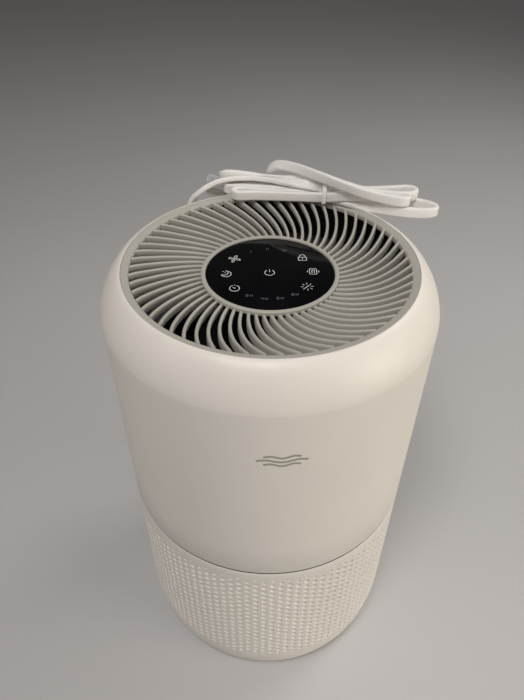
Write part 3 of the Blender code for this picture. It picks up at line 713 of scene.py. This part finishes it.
def stroke(skin, lift, points, wide=SYMBOL_LINE, closed=False):
    """A raised line along (x, y) points in mm; lift turns (x, y, up) in metres into a place."""
    flat = [Vector(point) for point in points]
    count = len(flat)
    left, right = [], []
    for i, point in enumerate(flat):
        back = (point - flat[i - 1]).normalized() if closed or i else None
        ahead = (flat[(i + 1) % count] - point).normalized() if closed or i < count - 1 else None
        along = ((back or ahead) + (ahead or back)).normalized()
        across = Vector((-along.y, along.x)) * wide / 2
        across /= max(along.dot(ahead or back), 0.6)
        left.append(point + across)
        right.append(point - across)
    rows = [
        skin.ring(lift(p.x * MM, p.y * MM, up) for p in side)
        for side, up in ((left, PRINT_LOW), (right, PRINT_LOW), (right, PRINT_HIGH),
                         (left, PRINT_HIGH))
    ]
    skin.stack(rows, around=True, closed=closed)
    if not closed:
        skin.cap([row[0] for row in rows])
        skin.cap([row[-1] for row in rows])


def arc(centre, radius, start, end, steps=20):
    """Points of part of a circle, between two angles in degrees."""
    return [
        tuple(Vector(centre) + polar(radius, math.radians(start + (end - start) * k / steps)).xy)
        for k in range(steps + 1)
    ]


def symbol_lift(centre):
    """Places a symbol's own (x, y) on the panel, which faces the viewer slightly turned."""
    turn = Matrix.Rotation(SYMBOL_TURN, 2)

    def lift(x, y, up):
        place = turn @ Vector((centre[0] * MM + x, centre[1] * MM + y))
        return (place.x, place.y, PANEL_Z + up)

    return lift


def draw_power(skin, lift):
    stroke(skin, lift, arc((0, 0), 3.1, 125, 415, 24))
    stroke(skin, lift, [(0, 0.6), (0, 3.6)])


def draw_fan(skin, lift):
    for k in range(4):
        turn = Matrix.Rotation(math.radians(90 * k - 34), 2)
        blade = [(0.5, 0.3), (2, 0), (3.6, 0.4), (4, 1.2), (2.9, 1.8), (1.3, 1.3)]
        stroke(skin, lift, [turn @ Vector(point) for point in blade], closed=True)


def draw_moon(skin, lift):
    outer = arc((0.2, -0.1), 3.2, 96, -150, 20)
    inner = arc((-1.2, 1.2), 2.6, -122, 74, 16)
    stroke(skin, lift, outer + inner, closed=True)
    for x, y in ((-2.4, 2.6), (-1, 1.2)):
        stroke(skin, lift, [(x, y), (x + 1, y)], SYMBOL_LINE * 0.8)


def draw_timer(skin, lift):
    stroke(skin, lift, arc((0, 0), 3.1, 112, 428, 28))
    stroke(skin, lift, [(-1.1, 1.1), (0, -0.1), (0.6, 0.5)])
    stroke(skin, lift, [(0, 3), (0, 3.7)])


def draw_padlock(skin, lift):
    body = [(-2.6, -3.2), (2.6, -3.2), (2.7, 0.6), (-2.7, 0.6)]
    stroke(skin, lift, body, closed=True)
    shackle = [(-1.8, 0.6)] + arc((0, 2), 1.8, 180, 0, 12) + [(1.8, 0.6)]
    stroke(skin, lift, shackle)
    stroke(skin, lift, [(0, -0.4), (0, -2)])


def draw_filter(skin, lift):
    box = [(-2.3, -2.6), (-1.8, -3.2), (1.8, -3.2), (2.3, -2.6),
           (2.3, 2.6), (1.8, 3.2), (-1.8, 3.2), (-2.3, 2.6)]
    stroke(skin, lift, box, closed=True)
    pleat = [(-0.8, -1.8), (-0.8, 1.6), (0.8, 1.6), (0.8, -1.8)]
    stroke(skin, lift, pleat)
    for side in (0, 180):
        stroke(skin, lift, arc((0, 0), 3.7, side - 15, side + 15, 6))


def draw_light(skin, lift):
    stroke(skin, lift, [(-2, -2.2), (2, 2.2)], SYMBOL_LINE * 0.9)
    for k in range(8):
        way = polar(1, math.tau * (k + 0.12) / 8).xy
        stroke(skin, lift, [way * 2.4, way * 3.9], SYMBOL_LINE * 0.9)


def draw_bars(count):
    """Upright bars, a millimetre apart."""
    def draw(skin, lift):
        for k in range(count):
            x = k - (count - 1) / 2
            stroke(skin, lift, [(x, -1.1), (x, 1.1)], MARK_LINE)

    return draw


# The bars of a digit: a top, b and c upper left and right, d bottom, e and g lower right and
# left, f across the middle.
DIGIT_BARS = {2: "acdfg", 4: "bcef", 6: "abdefg", 8: "abcdefg"}


def draw_hours(digit):
    """A digit in straight bars and an H for hours, as a timer shows them."""
    left, right, high = -2.0, -0.6, 1.0
    bars = {
        "a": [(left, high), (right, high)], "b": [(left, 0), (left, high)],
        "c": [(right, 0), (right, high)], "d": [(left, -high), (right, -high)],
        "e": [(right, -high), (right, 0)], "f": [(left, 0), (right, 0)],
        "g": [(left, -high), (left, 0)],
    }
    hours = [[(x, -high), (x, high)] for x in (-right, -left)] + [[(-right, 0), (-left, 0)]]

    def draw(skin, lift):
        for bar in [bars[name] for name in DIGIT_BARS[digit]] + hours:
            stroke(skin, lift, bar, MARK_LINE)

    return draw


def make_panel():
    disc = [(0, 0.3476), (PANEL_R, 0.3476), (PANEL_R, PANEL_Z), (0, PANEL_Z)]
    turned("touch_panel", disc, 160, "panel", replaces=["control_panel"])
    # Each symbol has the place of its middle, in millimetres from the panel's middle.
    groups = {
        "panel_symbols": ("print_bright", [
            (draw_power, (-0.3, -1.0)), (draw_fan, (-23.7, 14.7)), (draw_moon, (-28.3, -3.1)),
            (draw_timer, (-21.9, -18.9)), (draw_padlock, (21.3, 17.1)),
            (draw_filter, (27.7, 0.9)), (draw_light, (23.3, -16.1)),
        ]),
        "panel_speed_marks": ("print_blue", [
            (draw_bars(1), (-13.1, 24.3)), (draw_bars(2), (-2.0, 27.4)),
            (draw_bars(3), (9.4, 26.0)),
        ]),
        "panel_timer_marks": ("print_blue", [
            (draw_hours(2), (-12.6, -26.4)), (draw_hours(4), (-3.3, -29.3)),
            (draw_hours(6), (6.3, -28.6)), (draw_hours(8), (15.4, -24.6)),
        ]),
    }
    for name, (look, symbols) in groups.items():
        skin = Skin()
        for draw, centre in symbols:
            draw(skin, symbol_lift(centre))
        make_piece(name, skin, look, slot="guide")


def make_front_mark():
    """A small generic mark of three air waves on the front of the upper shell."""
    middle, half_wide, gap, swell, steps = 0.296, 15.0, 3.4, 0.9, 40

    def lift(x, y, up):
        return polar(BODY_R + up, -math.pi / 2 + x / BODY_R, middle + y)

    skin = Skin()
    for k, reach in ((-1, 0.72 * half_wide), (0, half_wide), (1, 0.72 * half_wide)):
        points = [
            (reach * (2 * i / steps - 1), gap * k + swell * math.sin(3 * math.pi * i / steps))
            for i in range(steps + 1)
        ]
        stroke(skin, lift, points, 1.6)
    make_piece("front_wave_mark", skin, "print_taupe", slot="grille")


# Filter and its cover

FILTER_LOW = 0.0203
FILTER_HIGH = 0.149
FILTER_R = 0.086
FILTER_BORE_R = 0.046
CAP_H = 0.0045
STRAP_TOP = 0.0199
MEDIA_LOW = FILTER_LOW + CAP_H + 0.0004
MEDIA_HIGH = FILTER_HIGH - CAP_H - 0.0004


def make_filter():
    skirt_in, skirt = 0.0847, 0.002
    floor, roof = FILTER_LOW + CAP_H, FILTER_HIGH - CAP_H
    bottom = [(0, FILTER_LOW), (FILTER_R, FILTER_LOW), (FILTER_R, floor + skirt),
              (skirt_in, floor + skirt), (skirt_in, floor), (0, floor)]
    turned("lower_end_cap", bottom, 160, "cap", "filter", ["filter_bottom_cap"])
    top = [(FILTER_BORE_R, roof), (skirt_in, roof), (skirt_in, roof - skirt),
           (FILTER_R, roof - skirt), (FILTER_R, FILTER_HIGH), (FILTER_BORE_R, FILTER_HIGH)]
    turned("upper_end_cap", top, 160, "cap", "filter", ["filter_top_cap"])
    make_pleats()
    carbon = tube(0.048, 0.051, MEDIA_LOW, MEDIA_HIGH)
    turned("carbon_sleeve", carbon, 120, "carbon", "filter", ["carbon_layer"])
    seal = tube(0.061, 0.07, FILTER_HIGH + 0.0004, 0.1536)
    turned("seal_ring", seal, 140, "foam", "filter", ["filter_gasket"], 0.0012)
    make_net()
    make_pull_tab()


def make_pleats():
    """The pleated paper: four points to a pleat, each pleat swaying a little on its way up."""
    count, levels = 4 * 120, 12
    valley_r, pleat_deep, core_r, sway = 0.0787, 0.0036, 0.052, 0.024
    skin = Skin()
    rows = []
    for level in range(levels + 1):
        height = MEDIA_LOW + (MEDIA_HIGH - MEDIA_LOW) * level / levels
        points = []
        for k in range(count):
            radius = valley_r + pleat_deep * abs((k % 4) - 2) / 2
            shift = sway * math.sin(level * 1.7 + (k // 4) * 2.4)
            points.append(polar(radius, math.tau * (k + shift) / count, height))
        rows.append(skin.ring(points))
    rows += [skin.ring(circle(core_r, z, count)) for z in (MEDIA_HIGH, MEDIA_LOW)]
    skin.stack(rows, around=True)
    make_piece("pleated_media", skin, "media", "filter", ["filter_media"])


def make_net():
    """The outer net of the filter: upright strands and hoops, each a thin square rod."""
    skin = Skin()
    inner, outer, half = 0.0836, 0.0842, 0.00022
    strands, hoops = 130, 46
    turn = half / inner
    for k in range(strands):
        angle = math.tau * k / strands
        section = tube(inner, outer, -turn, turn)
        skin.loft([[polar(r, angle + t, z) for r, t in section] for z in (MEDIA_LOW, MEDIA_HIGH)])
    for k in range(hoops):
        z = MEDIA_LOW + half + (MEDIA_HIGH - MEDIA_LOW - 2 * half) * k / (hoops - 1)
        skin.lathe(tube(inner, outer, z - half, z + half), strands)
    make_piece("outer_net", skin, "mesh", "filter", ["prefilter_mesh"])


def make_pull_tab():
    """A flat strap under the filter, fixed at both ends and hanging down in the middle."""
    length, half_wide, thick, sag = 0.06, 0.008, 0.0009, 0.0008
    corner, steps = 0.0003, 30
    sections = []
    for i in range(steps + 1):
        x = length * (i / steps - 0.5)
        high = STRAP_TOP - sag * math.cos(math.pi * x / length) ** 2
        low = high - thick
        sections.append([
            (x, -half_wide, low + corner), (x, -half_wide + corner, low),
            (x, half_wide - corner, low), (x, half_wide, low + corner),
            (x, half_wide, high), (x, -half_wide, high),
        ])
    skin = Skin()
    skin.loft(sections)
    make_piece("pull_strap", skin, "media", "filter", ["filter_pull_tab"])


COVER_R = 0.0881
COVER_LOW = 0.0028
GRIP_R = 0.034
GRIP_TOP = 0.0172


def make_cover():
    """The dished cover with four bayonet lugs, two finger pockets and its turn marks."""
    rim_r, rim_in_r, flange_z, floor_z = 0.0873, 0.0851, 0.0054, 0.0056
    dish = rounded([
        (0, COVER_LOW), (COVER_R, COVER_LOW), (COVER_R, flange_z), (rim_r, flange_z),
        (rim_r, 0.014), (rim_in_r, 0.014), (rim_in_r, floor_z), (GRIP_R, floor_z),
        (GRIP_R, GRIP_TOP), (0, GRIP_TOP),
    ], 0.0007)
    skin = Skin()
    skin.lathe(dish, 192)
    cover = make_piece("base_cover", skin, "shell", "filter_cover", ["filter_cover"])
    lugs = Skin()
    for middle in (0, 90, 180, 270):
        outside = arc((0, 0), 0.0918, middle - 7, middle + 7, 10)
        inside = arc((0, 0), 0.0862, middle + 7, middle - 7, 10)
        lugs.prism(outside + inside, 0.0058, 0.0088)
    combine(cover, lugs, "UNION")
    grips = Skin()
    reach, half_bar = GRIP_R - 0.003, 0.0055
    edge = math.degrees(math.asin(half_bar / reach))
    for turn in (0, 180):
        pocket = arc((0, 0), reach, turn + edge, turn + 180 - edge, 30)
        grips.prism(pocket, COVER_LOW - 0.002, GRIP_TOP - 0.002)
    combine(cover, grips, "DIFFERENCE")
    cover.data.shade_smooth()
    cover.data.set_sharp_from_angle(angle=math.radians(32))
    marks = Skin()

    def lift(x, y, up):
        return (x, y, COVER_LOW - up)

    mark_r, line = 70, 0.9
    for middle in (58, 122):
        stroke(marks, lift, arc((0, 0), mark_r, middle - 12, middle + 12, 16), line)
    tip = polar(mark_r, math.radians(122 + 12)).xy
    arrow = [tip + Vector((1.0, 3.2)), tip, tip + Vector((3.4, -0.4))]
    stroke(marks, lift, arrow, line)
    make_piece("cover_turn_marks", marks, "print_taupe", "filter_cover", slot="grille")


# Mains cord

def facing(side, points):
    """Route points: each is its place and the direction of the cord's wide way there."""
    return [(*point, side) for point in points]


def upright(points):
    """Route points where the flat cord stands on its edge."""
    return facing((0, 0, 1), points)


def on_rim(points):
    """Points at the height of the runs that stand on the rim."""
    return [(*point, DECK_Z) for point in points]


def fold(centre, radius, start, end, low, high, steps=4):
    """Points of a fold: part of a circle seen from above, rising from one height to another."""
    return upright([
        (*spot, low + (high - low) * i / steps)
        for i, spot in enumerate(arc(centre, radius, start, end, steps))
    ])


# Up behind the body from the low outlet, and over the rim at the left.
CLIMB = facing((1, 0, 0), [
    (0, 0.1356, 0.032), (0, 0.145, 0.0322), (-0.002, 0.156, 0.037), (-0.0055, 0.1635, 0.0475),
    (-0.0105, 0.1655, 0.062), (-0.017, 0.1625, 0.08), (-0.024, 0.155, 0.101),
]) + [
    (-0.032, 0.144, 0.128, (1, 0.2, 0)), (-0.04, 0.133, 0.16, (1, 0.3, 0)),
    (-0.0465, 0.1225, 0.198, (1, 0.4, 0)), (-0.051, 0.114, 0.238, (1, 0.5, 0)),
    (-0.054, 0.1065, 0.28, (1, 0.5, 0)), (-0.0554, 0.1015, 0.315, (1, 0.6, 0)),
    (-0.0553, 0.0998, 0.335, (1, 0.7, 0)), (-0.054, 0.0968, 0.347, (0.9, 0.8, 0)),
    (-0.0506, 0.0946, 0.3562, (0.55, 0.85, -0.1)), (-0.045, 0.093, 0.3622, (0.2, 0.95, -0.25)),
    (-0.039, 0.094, 0.3655, (0, 0.93, -0.36)),
]
# Over the left end to the tie, then down to the hidden fold at the right.
RUN_A = [
    (-0.0316, 0.0952, 0.368, (0, 0.9, -0.42)), (-0.02, 0.096, 0.3694, (0, 0.86, -0.5)),
    (-0.008, 0.0958, 0.3696, (0, 0.9, -0.44)), (0.006, 0.0925, 0.3699, (0, 0.98, -0.2)),
    (0.018, 0.0882, 0.37, (0, 0.96, 0.28)), (0.031, 0.0824, 0.3699, (0, 0.7, 0.71)),
] + upright([
    (0.044, 0.0779, 0.3698), (0.05, 0.0761, 0.3684), (0.055, 0.075, 0.3675),
    (0.06, 0.0742, 0.3662), (0.063, 0.0734, 0.3644), (0.066, 0.0729, 0.3624),
    (0.072, 0.0721, 0.3604), (0.084, 0.0702, 0.3588),
]) + fold((0.0925, 0.0723), 0.0034, -90, 90, 0.3586, 0.3586)
# Back to the left, round the second loop there, and out to the right again.
RUN_C = upright([
    (0.084, 0.0758, 0.359), (0.075, 0.0768, 0.3598), (0.066, 0.078, 0.3612),
    (0.055, 0.082, 0.3624),
] + on_rim([
    (0.044, 0.0838), (0.03, 0.0859), (0.016, 0.088), (0.002, 0.0904), (-0.012, 0.0932),
])) + fold((-0.0234, 0.0978), 0.0039, 270, 90, DECK_Z, DECK_Z) + upright(on_rim([
    (-0.012, 0.099), (0.002, 0.0949), (0.016, 0.0916), (0.03, 0.0898), (0.044, 0.0877),
]) + [
    (0.055, 0.0858, 0.363), (0.066, 0.0821, 0.3638), (0.075, 0.0802, 0.3648),
    (0.084, 0.0782, 0.3657), (0.096, 0.0773, 0.3664),
]) + fold((0.105, 0.0718), 0.0053, 90, -90, 0.3667, 0.3669)
# From the short right loop back to the left, and round the rear loop there.
RUN_B = upright([
    (0.096, 0.0667, 0.367), (0.086, 0.0686, 0.3673), (0.078, 0.07, 0.3681),
    (0.072, 0.0713, 0.3691), (0.066, 0.0738, 0.3698), (0.06, 0.0779, 0.3702),
    (0.053, 0.0802, 0.3699), (0.044, 0.0819, 0.3698), (0.03, 0.0882, 0.3699),
    (0.023, 0.0918, 0.3692), (0.016, 0.0946, 0.3678), (0.002, 0.0988, 0.3676),
    (-0.012, 0.1017, 0.3688),
]) + fold((-0.0262, 0.1065), 0.0036, 270, 90, 0.3697, 0.3642) + upright([
    (-0.014, 0.107, 0.3634),
] + on_rim([
    (0.002, 0.1029), (0.016, 0.0981), (0.03, 0.0942), (0.044, 0.0916),
]) + [
    (0.058, 0.0898, 0.3624), (0.074, 0.0866, 0.361), (0.09, 0.0816, 0.36),
    (0.102, 0.0755, 0.3594),
])
# The long right loop, then flat under the next run and back to the front left loop.
RUN_G = upright([
    (0.111, 0.0696, 0.3598), (0.118, 0.0641, 0.3605), (0.1218, 0.0592, 0.3608),
    (0.1216, 0.0548, 0.3609), (0.117, 0.0524, 0.361), (0.108, 0.0524, 0.361),
    (0.098, 0.0544, 0.3611), (0.088, 0.058, 0.3612),
]) + [
    (0.08, 0.0616, 0.3611, (0, 0.2, 1)), (0.072, 0.0647, 0.3609, (0, 0.7, 0.7)),
    (0.065, 0.0679, 0.361, (0, 1, 0.12)), (0.058, 0.0722, 0.3611, (0, 1, 0.12)),
    (0.052, 0.0763, 0.3612, (0, 0.9, 0.4)), (0.046, 0.0792, 0.3619, (0, 0.4, 0.92)),
] + upright([
    (0.04, 0.08, 0.3627),
] + on_rim([
    (0.03, 0.0819), (0.014, 0.0842), (0, 0.0868), (-0.01, 0.0888),
])) + fold((-0.0176, 0.086), 0.0036, 90, 270, DECK_Z, DECK_Z) + upright(on_rim([
    (-0.006, 0.0821), (0.008, 0.0808), (0.024, 0.0787), (0.036, 0.077),
]) + [
    (0.044, 0.0755, 0.3631), (0.05, 0.0722, 0.3648), (0.056, 0.0698, 0.3664),
    (0.064, 0.068, 0.3672), (0.072, 0.0665, 0.3676), (0.08, 0.065, 0.3674),
    (0.09, 0.063, 0.3671),
]) + fold((0.0964, 0.058), 0.0044, 90, -90, 0.3672, 0.3695)
# Over the tie and the top of the hank, down behind it and into the plug.
TAIL = upright([
    (0.0888, 0.0548, 0.3702), (0.0806, 0.0568, 0.3714), (0.0723, 0.0587, 0.3729),
    (0.0642, 0.0615, 0.3746), (0.0563, 0.0658, 0.3762), (0.0484, 0.0705, 0.3776),
]) + [
    (0.0405, 0.0762, 0.3786, (0, 0.2, 1)), (0.0327, 0.0826, 0.3792, (0, 0.3, 1)),
    (0.0247, 0.0896, 0.3794, (0, 0.4, 0.9)), (0.0172, 0.0954, 0.379, (0.05, 0.6, 0.8)),
    (0.0112, 0.0999, 0.3775, (0.2, 0.8, 0.5)), (0.0076, 0.103, 0.3744, (0.2, 0.95, 0.2)),
    (0.006, 0.1058, 0.37, (0.15, 1, 0.1)), (0.0058, 0.1082, 0.365, (0.1, 1, 0.1)),
] + facing((0, 1, 0), [
    (0.0068, 0.1108, 0.3602), (0.009, 0.1129, 0.3552), (0.0112, 0.1143, 0.35),
    (0.0122, 0.1147, 0.3445), (0.0104, 0.1141, 0.3394), (0.0066, 0.1142, 0.3391),
    (0.003, 0.1147, 0.3402),
])
ROUTE = CLIMB + RUN_A + RUN_C + RUN_B + RUN_G + TAIL


def smooth_route(route, step):
    """Evenly spaced (place, wide direction) pairs on a smooth curve through the route."""
    places = [Vector(point[:3]) for point in route]
    sides = [Vector(point[3]) for point in route]
    places = [2 * places[0] - places[1]] + places + [2 * places[-1] - places[-2]]
    dense = []
    for i in range(len(route) - 1):
        p0, p1, p2, p3 = places[i : i + 4]
        a, b, c = (math.sqrt((q - p).length) for p, q in ((p0, p1), (p1, p2), (p2, p3)))
        leave = b * ((p1 - p0) / a - (p2 - p0) / (a + b) + (p2 - p1) / b)
        arrive = b * ((p2 - p1) / b - (p3 - p1) / (b + c) + (p3 - p2) / c)
        for t in (k / ROUTE_STEPS for k in range(ROUTE_STEPS)):
            place = (2 * t**3 - 3 * t**2 + 1) * p1 + (t**3 - 2 * t**2 + t) * leave
            place += (3 * t**2 - 2 * t**3) * p2 + (t**3 - t**2) * arrive
            dense.append((place, sides[i].lerp(sides[i + 1], t * t * (3 - 2 * t))))
    dense.append((places[-2], sides[-1]))
    lengths = [0.0]
    for (p, _), (q, _) in zip(dense, dense[1:]):
        lengths.append(lengths[-1] + (q - p).length)
    count = int(lengths[-1] / step)
    even, at = [], 0
    for k in range(count + 1):
        target = lengths[-1] * k / count
        while at < len(dense) - 2 and lengths[at + 1] < target:
            at += 1
        share = (target - lengths[at]) / max(lengths[at + 1] - lengths[at], 1e-12)
        even.append((dense[at][0].lerp(dense[at + 1][0], share),
                     dense[at][1].lerp(dense[at + 1][1], share)))
    return even, lengths[-1]


def block_section(half_wide, half_high, corner, steps=5):
    """A rectangle with rounded corners, from its right side on."""
    points = []
    for x, y, start in ((1, 1, 0), (-1, 1, 90), (-1, -1, 180), (1, -1, 270)):
        centre = (x * (half_wide - corner), y * (half_high - corner))
        points += arc(centre, corner, start, start + 90, steps)
    return points


def flat_section():
    """The flat cord's cross-section: a squarish band with rounded corners and a shallow waist."""
    points = block_section(CORD_WIDE / 2, CORD_THICK / 2, CORD_CORNER, 3)
    waist = CORD_THICK / 2 - CORD_WAIST
    return points[:4] + [(0, waist)] + points[4:12] + [(0, -waist)] + points[12:]


def make_cord():
    route, length = smooth_route(ROUTE, CORD_STEP)
    section = flat_section()
    rows = []
    last = len(route) - 1
    for i, (place, side) in enumerate(route):
        along = (route[min(i + 1, last)][0] - route[max(i - 1, 0)][0]).normalized()
        wide = (side - side.dot(along) * along).normalized()
        thin = along.cross(wide)
        rows.append([place + wide * x + thin * y for x, y in section])
    skin = Skin()
    skin.loft(rows)
    cord = make_piece("flat_mains_cord", skin, "cord",
                      replaces=["cord_tube", "cord_hank", "cord_tail"], sharp=50)
    pieces = [make_tie()] + make_plug()
    make_strain_relief()
    [tuple(place) for place, _ in route]


def make_tie():
    """A flat wire tie drawn round the runs of the hank, in the plane across them."""
    centre = Vector((0.0832, 0.3668))
    half_wide, thick = 0.0013, 0.0007
    outline = [Vector(point) for point in rounded([
        (0.0722, 0.3592), (0.0938, 0.3592), (0.0938, 0.3668), (0.085, 0.3742),
        (0.0752, 0.3742), (0.0722, 0.368),
    ], 0.0018, 5)]
    skin = Skin()
    rows = []
    for grow, x in ((0, -half_wide), (thick * 0.7, -half_wide), (thick, -half_wide * 0.6),
                    (thick, half_wide * 0.6), (thick * 0.7, half_wide), (0, half_wide)):
        rows.append(skin.ring(
            (TIE_X + x, *(point + (point - centre).normalized() * grow)) for point in outline
        ))
    skin.stack(rows, around=True)
    return make_piece("hank_tie", skin, "tie", replaces=["cord_tie"])


def make_plug():
    """The mains plug, its blades and the clear sleeve over them, in the plug's own axes."""
    frame = Matrix.Translation(PLUG_PLACE) @ PLUG_TURN.to_matrix().to_4x4()

    def blocks(sections):
        """Rounded blocks from (x, half width, half height, corner), all in millimetres."""
        return [
            [frame @ (Vector((x, y, z)) * MM) for y, z in block_section(wide, high, corner)]
            for x, wide, high, corner in sections
        ]

    sections = [(-17, 4.0, 2.6, 1.4), (-16, 4.3, 3.0, 1.6)]
    for x in (-15.5, -14.1, -12.7):
        sections += [(x, 4.4, 3.2, 1.8), (x + 0.4, 3.8, 2.6, 1.4), (x + 0.8, 3.8, 2.6, 1.4),
                     (x + 1.2, 4.5, 3.3, 1.8)]
    sections += [
        (-10.5, 6.0, 4.2, 2.4), (-8, 8.6, 5.6, 3.2), (-4, 9.5, 6.1, 3.4), (2, 9.8, 6.2, 3.4),
        (8, 9.8, 6.2, 3.4), (10.8, 9.7, 6.1, 3.3), (11.7, 9.3, 5.7, 3.0), (12, 8.6, 5.0, 2.6),
    ]
    skin = Skin()
    skin.loft(blocks(sections))
    body = make_piece("moulded_plug", skin, "cord", replaces=["plug_body"], sharp=50)
    # From the closed end of its inside, over the mouth at the plug, to its outer end.
    sleeve = Skin()
    sleeve.loft(blocks([
        (30, 7.4, 3.2, 1.2), (29.2, 8.0, 3.8, 1.4), (12.4, 8.0, 3.8, 1.4), (12.4, 9.0, 4.6, 2.0),
        (29, 9.0, 4.6, 2.0), (30.4, 8.6, 4.2, 1.8), (31, 7.6, 3.4, 1.4),
    ]))
    cover = make_piece("plug_blade_sleeve", sleeve, "clear", replaces=["blade_cover"])
    return [body, cover] + [NODES[f"plug_blade_{k}"] for k in (1, 2)]


def make_strain_relief():
    """The tapered collar where the cord leaves the body, ringed along its length."""
    outline = [(0.002, 0.1025), (0.0078, 0.1025), (0.0078, 0.1049), (0.0055, 0.1053),
               (0.0055, 0.1102), (0.0072, 0.1106)]
    for k in range(6):
        y = 0.1128 + 0.0034 * k
        radius = 0.0069 - 0.00034 * k
        outline += [(radius, y), (radius - 0.0009, y + 0.0003), (radius - 0.001, y + 0.0012),
                    (radius - 0.0002, y + 0.0015)]
    outline += [(0.0044, 0.134), (0.0041, 0.1346), (0.002, 0.1346)]
    skin = Skin()
    skin.lathe(rounded(outline, 0.0003, 2), 64)
    skin.points = [(x, z, OUTLET_Z - y) for x, y, z in skin.points]
    make_piece("strain_relief", skin, "cord", replaces=["cord_gland"])


# Stage

EYE = Vector((-0.02445, -0.3177, 0.56182))
HEADING = math.radians(86.503)
PITCH = math.radians(41.16)
ROLL = math.radians(0.212)
LENS = 30.31
SENSOR = 36.0
FLOOR_HALF = 3


def make_camera():
    ahead = polar(math.cos(PITCH), HEADING, -math.sin(PITCH))
    level = Vector((math.sin(HEADING), -math.cos(HEADING), 0))
    head = level.cross(ahead)
    right = math.cos(ROLL) * level + math.sin(ROLL) * head
    up = math.cos(ROLL) * head - math.sin(ROLL) * level
    data = bpy.data.cameras.new("view")
    data.sensor_width = SENSOR
    data.lens = LENS
    data.clip_start = 0.01
    turn = Matrix((right, up, -ahead)).transposed().to_4x4()
    camera = add_object("view", data)
    camera.matrix_world = Matrix.Translation(EYE) @ turn
    bpy.context.scene.camera = camera


def add_area(name, place, aim, size, power, colour):
    data = bpy.data.lights.new(name, "AREA")
    data.size = size
    data.energy = power
    data.color = colour
    light = add_object(name, data)
    light.location = place
    light.rotation_euler = (Vector(aim) - Vector(place)).to_track_quat("-Z", "Y").to_euler()


def make_stage():
    """A plain pale floor, a dim world and soft lamps; the lamp below lights the drawn filter."""
    mesh = bpy.data.meshes.new("floor")
    corners = [(-FLOOR_HALF, -FLOOR_HALF, 0), (FLOOR_HALF, -FLOOR_HALF, 0),
               (FLOOR_HALF, FLOOR_HALF, 0), (-FLOOR_HALF, FLOOR_HALF, 0)]
    mesh.from_pydata(corners, [], [(0, 1, 2, 3)])
    look = Look("floor_paint", Roughness=0.8)
    look.colours(look.noise(2.0, 2.0), (0.55, 0.55, 0.56), (0.57, 0.57, 0.58))
    mesh.materials.append(look.material)
    floor = add_object("floor", mesh)
    world = bpy.data.worlds.new("studio")
    bpy.context.scene.world = world
    world.use_nodes = True
    background = world.node_tree.nodes["Background"]
    background.inputs["Color"].default_value = (1.0, 0.95, 0.92, 1)
    background.inputs["Strength"].default_value = 0.10
    bpy.context.scene.view_settings.view_transform = "Standard"
    middle = (0, 0, 0.25)
    add_area("top", (-0.25, -0.60, 1.60), middle, 0.5, 11.6, (1.0, 0.96, 0.93))
    add_area("rear_right", (1.0, 0.55, 1.25), middle, 0.6, 6.0, (1.0, 0.97, 0.93))
    add_area("right", (1.25, -0.70, 0.45), middle, 0.8, 9.0, (1.0, 0.92, 0.79))
    add_area("left", (-1.2, -0.5, 0.9), middle, 0.6, 1.4, (1.0, 0.88, 0.78))
    add_area("below", (-0.5, 0.9, -0.9), (0, 0, -0.08), 0.8, 14.0, (1.0, 0.96, 0.93))


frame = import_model()
NODES = frame["nodes"]
LOOKS = make_materials()
for row in frame["record"]["subparts"]:
    for material_slot in NODES[row["node"]].material_slots:
        material_slot.material = LOOKS[row["material_slot"]]

make_camera()
make_stage()
make_cord()
make_upper_shell()
make_lower_shell()
make_grille()
make_panel()
make_front_mark()
make_filter()
make_cover()

bpy.context.view_layer.update()
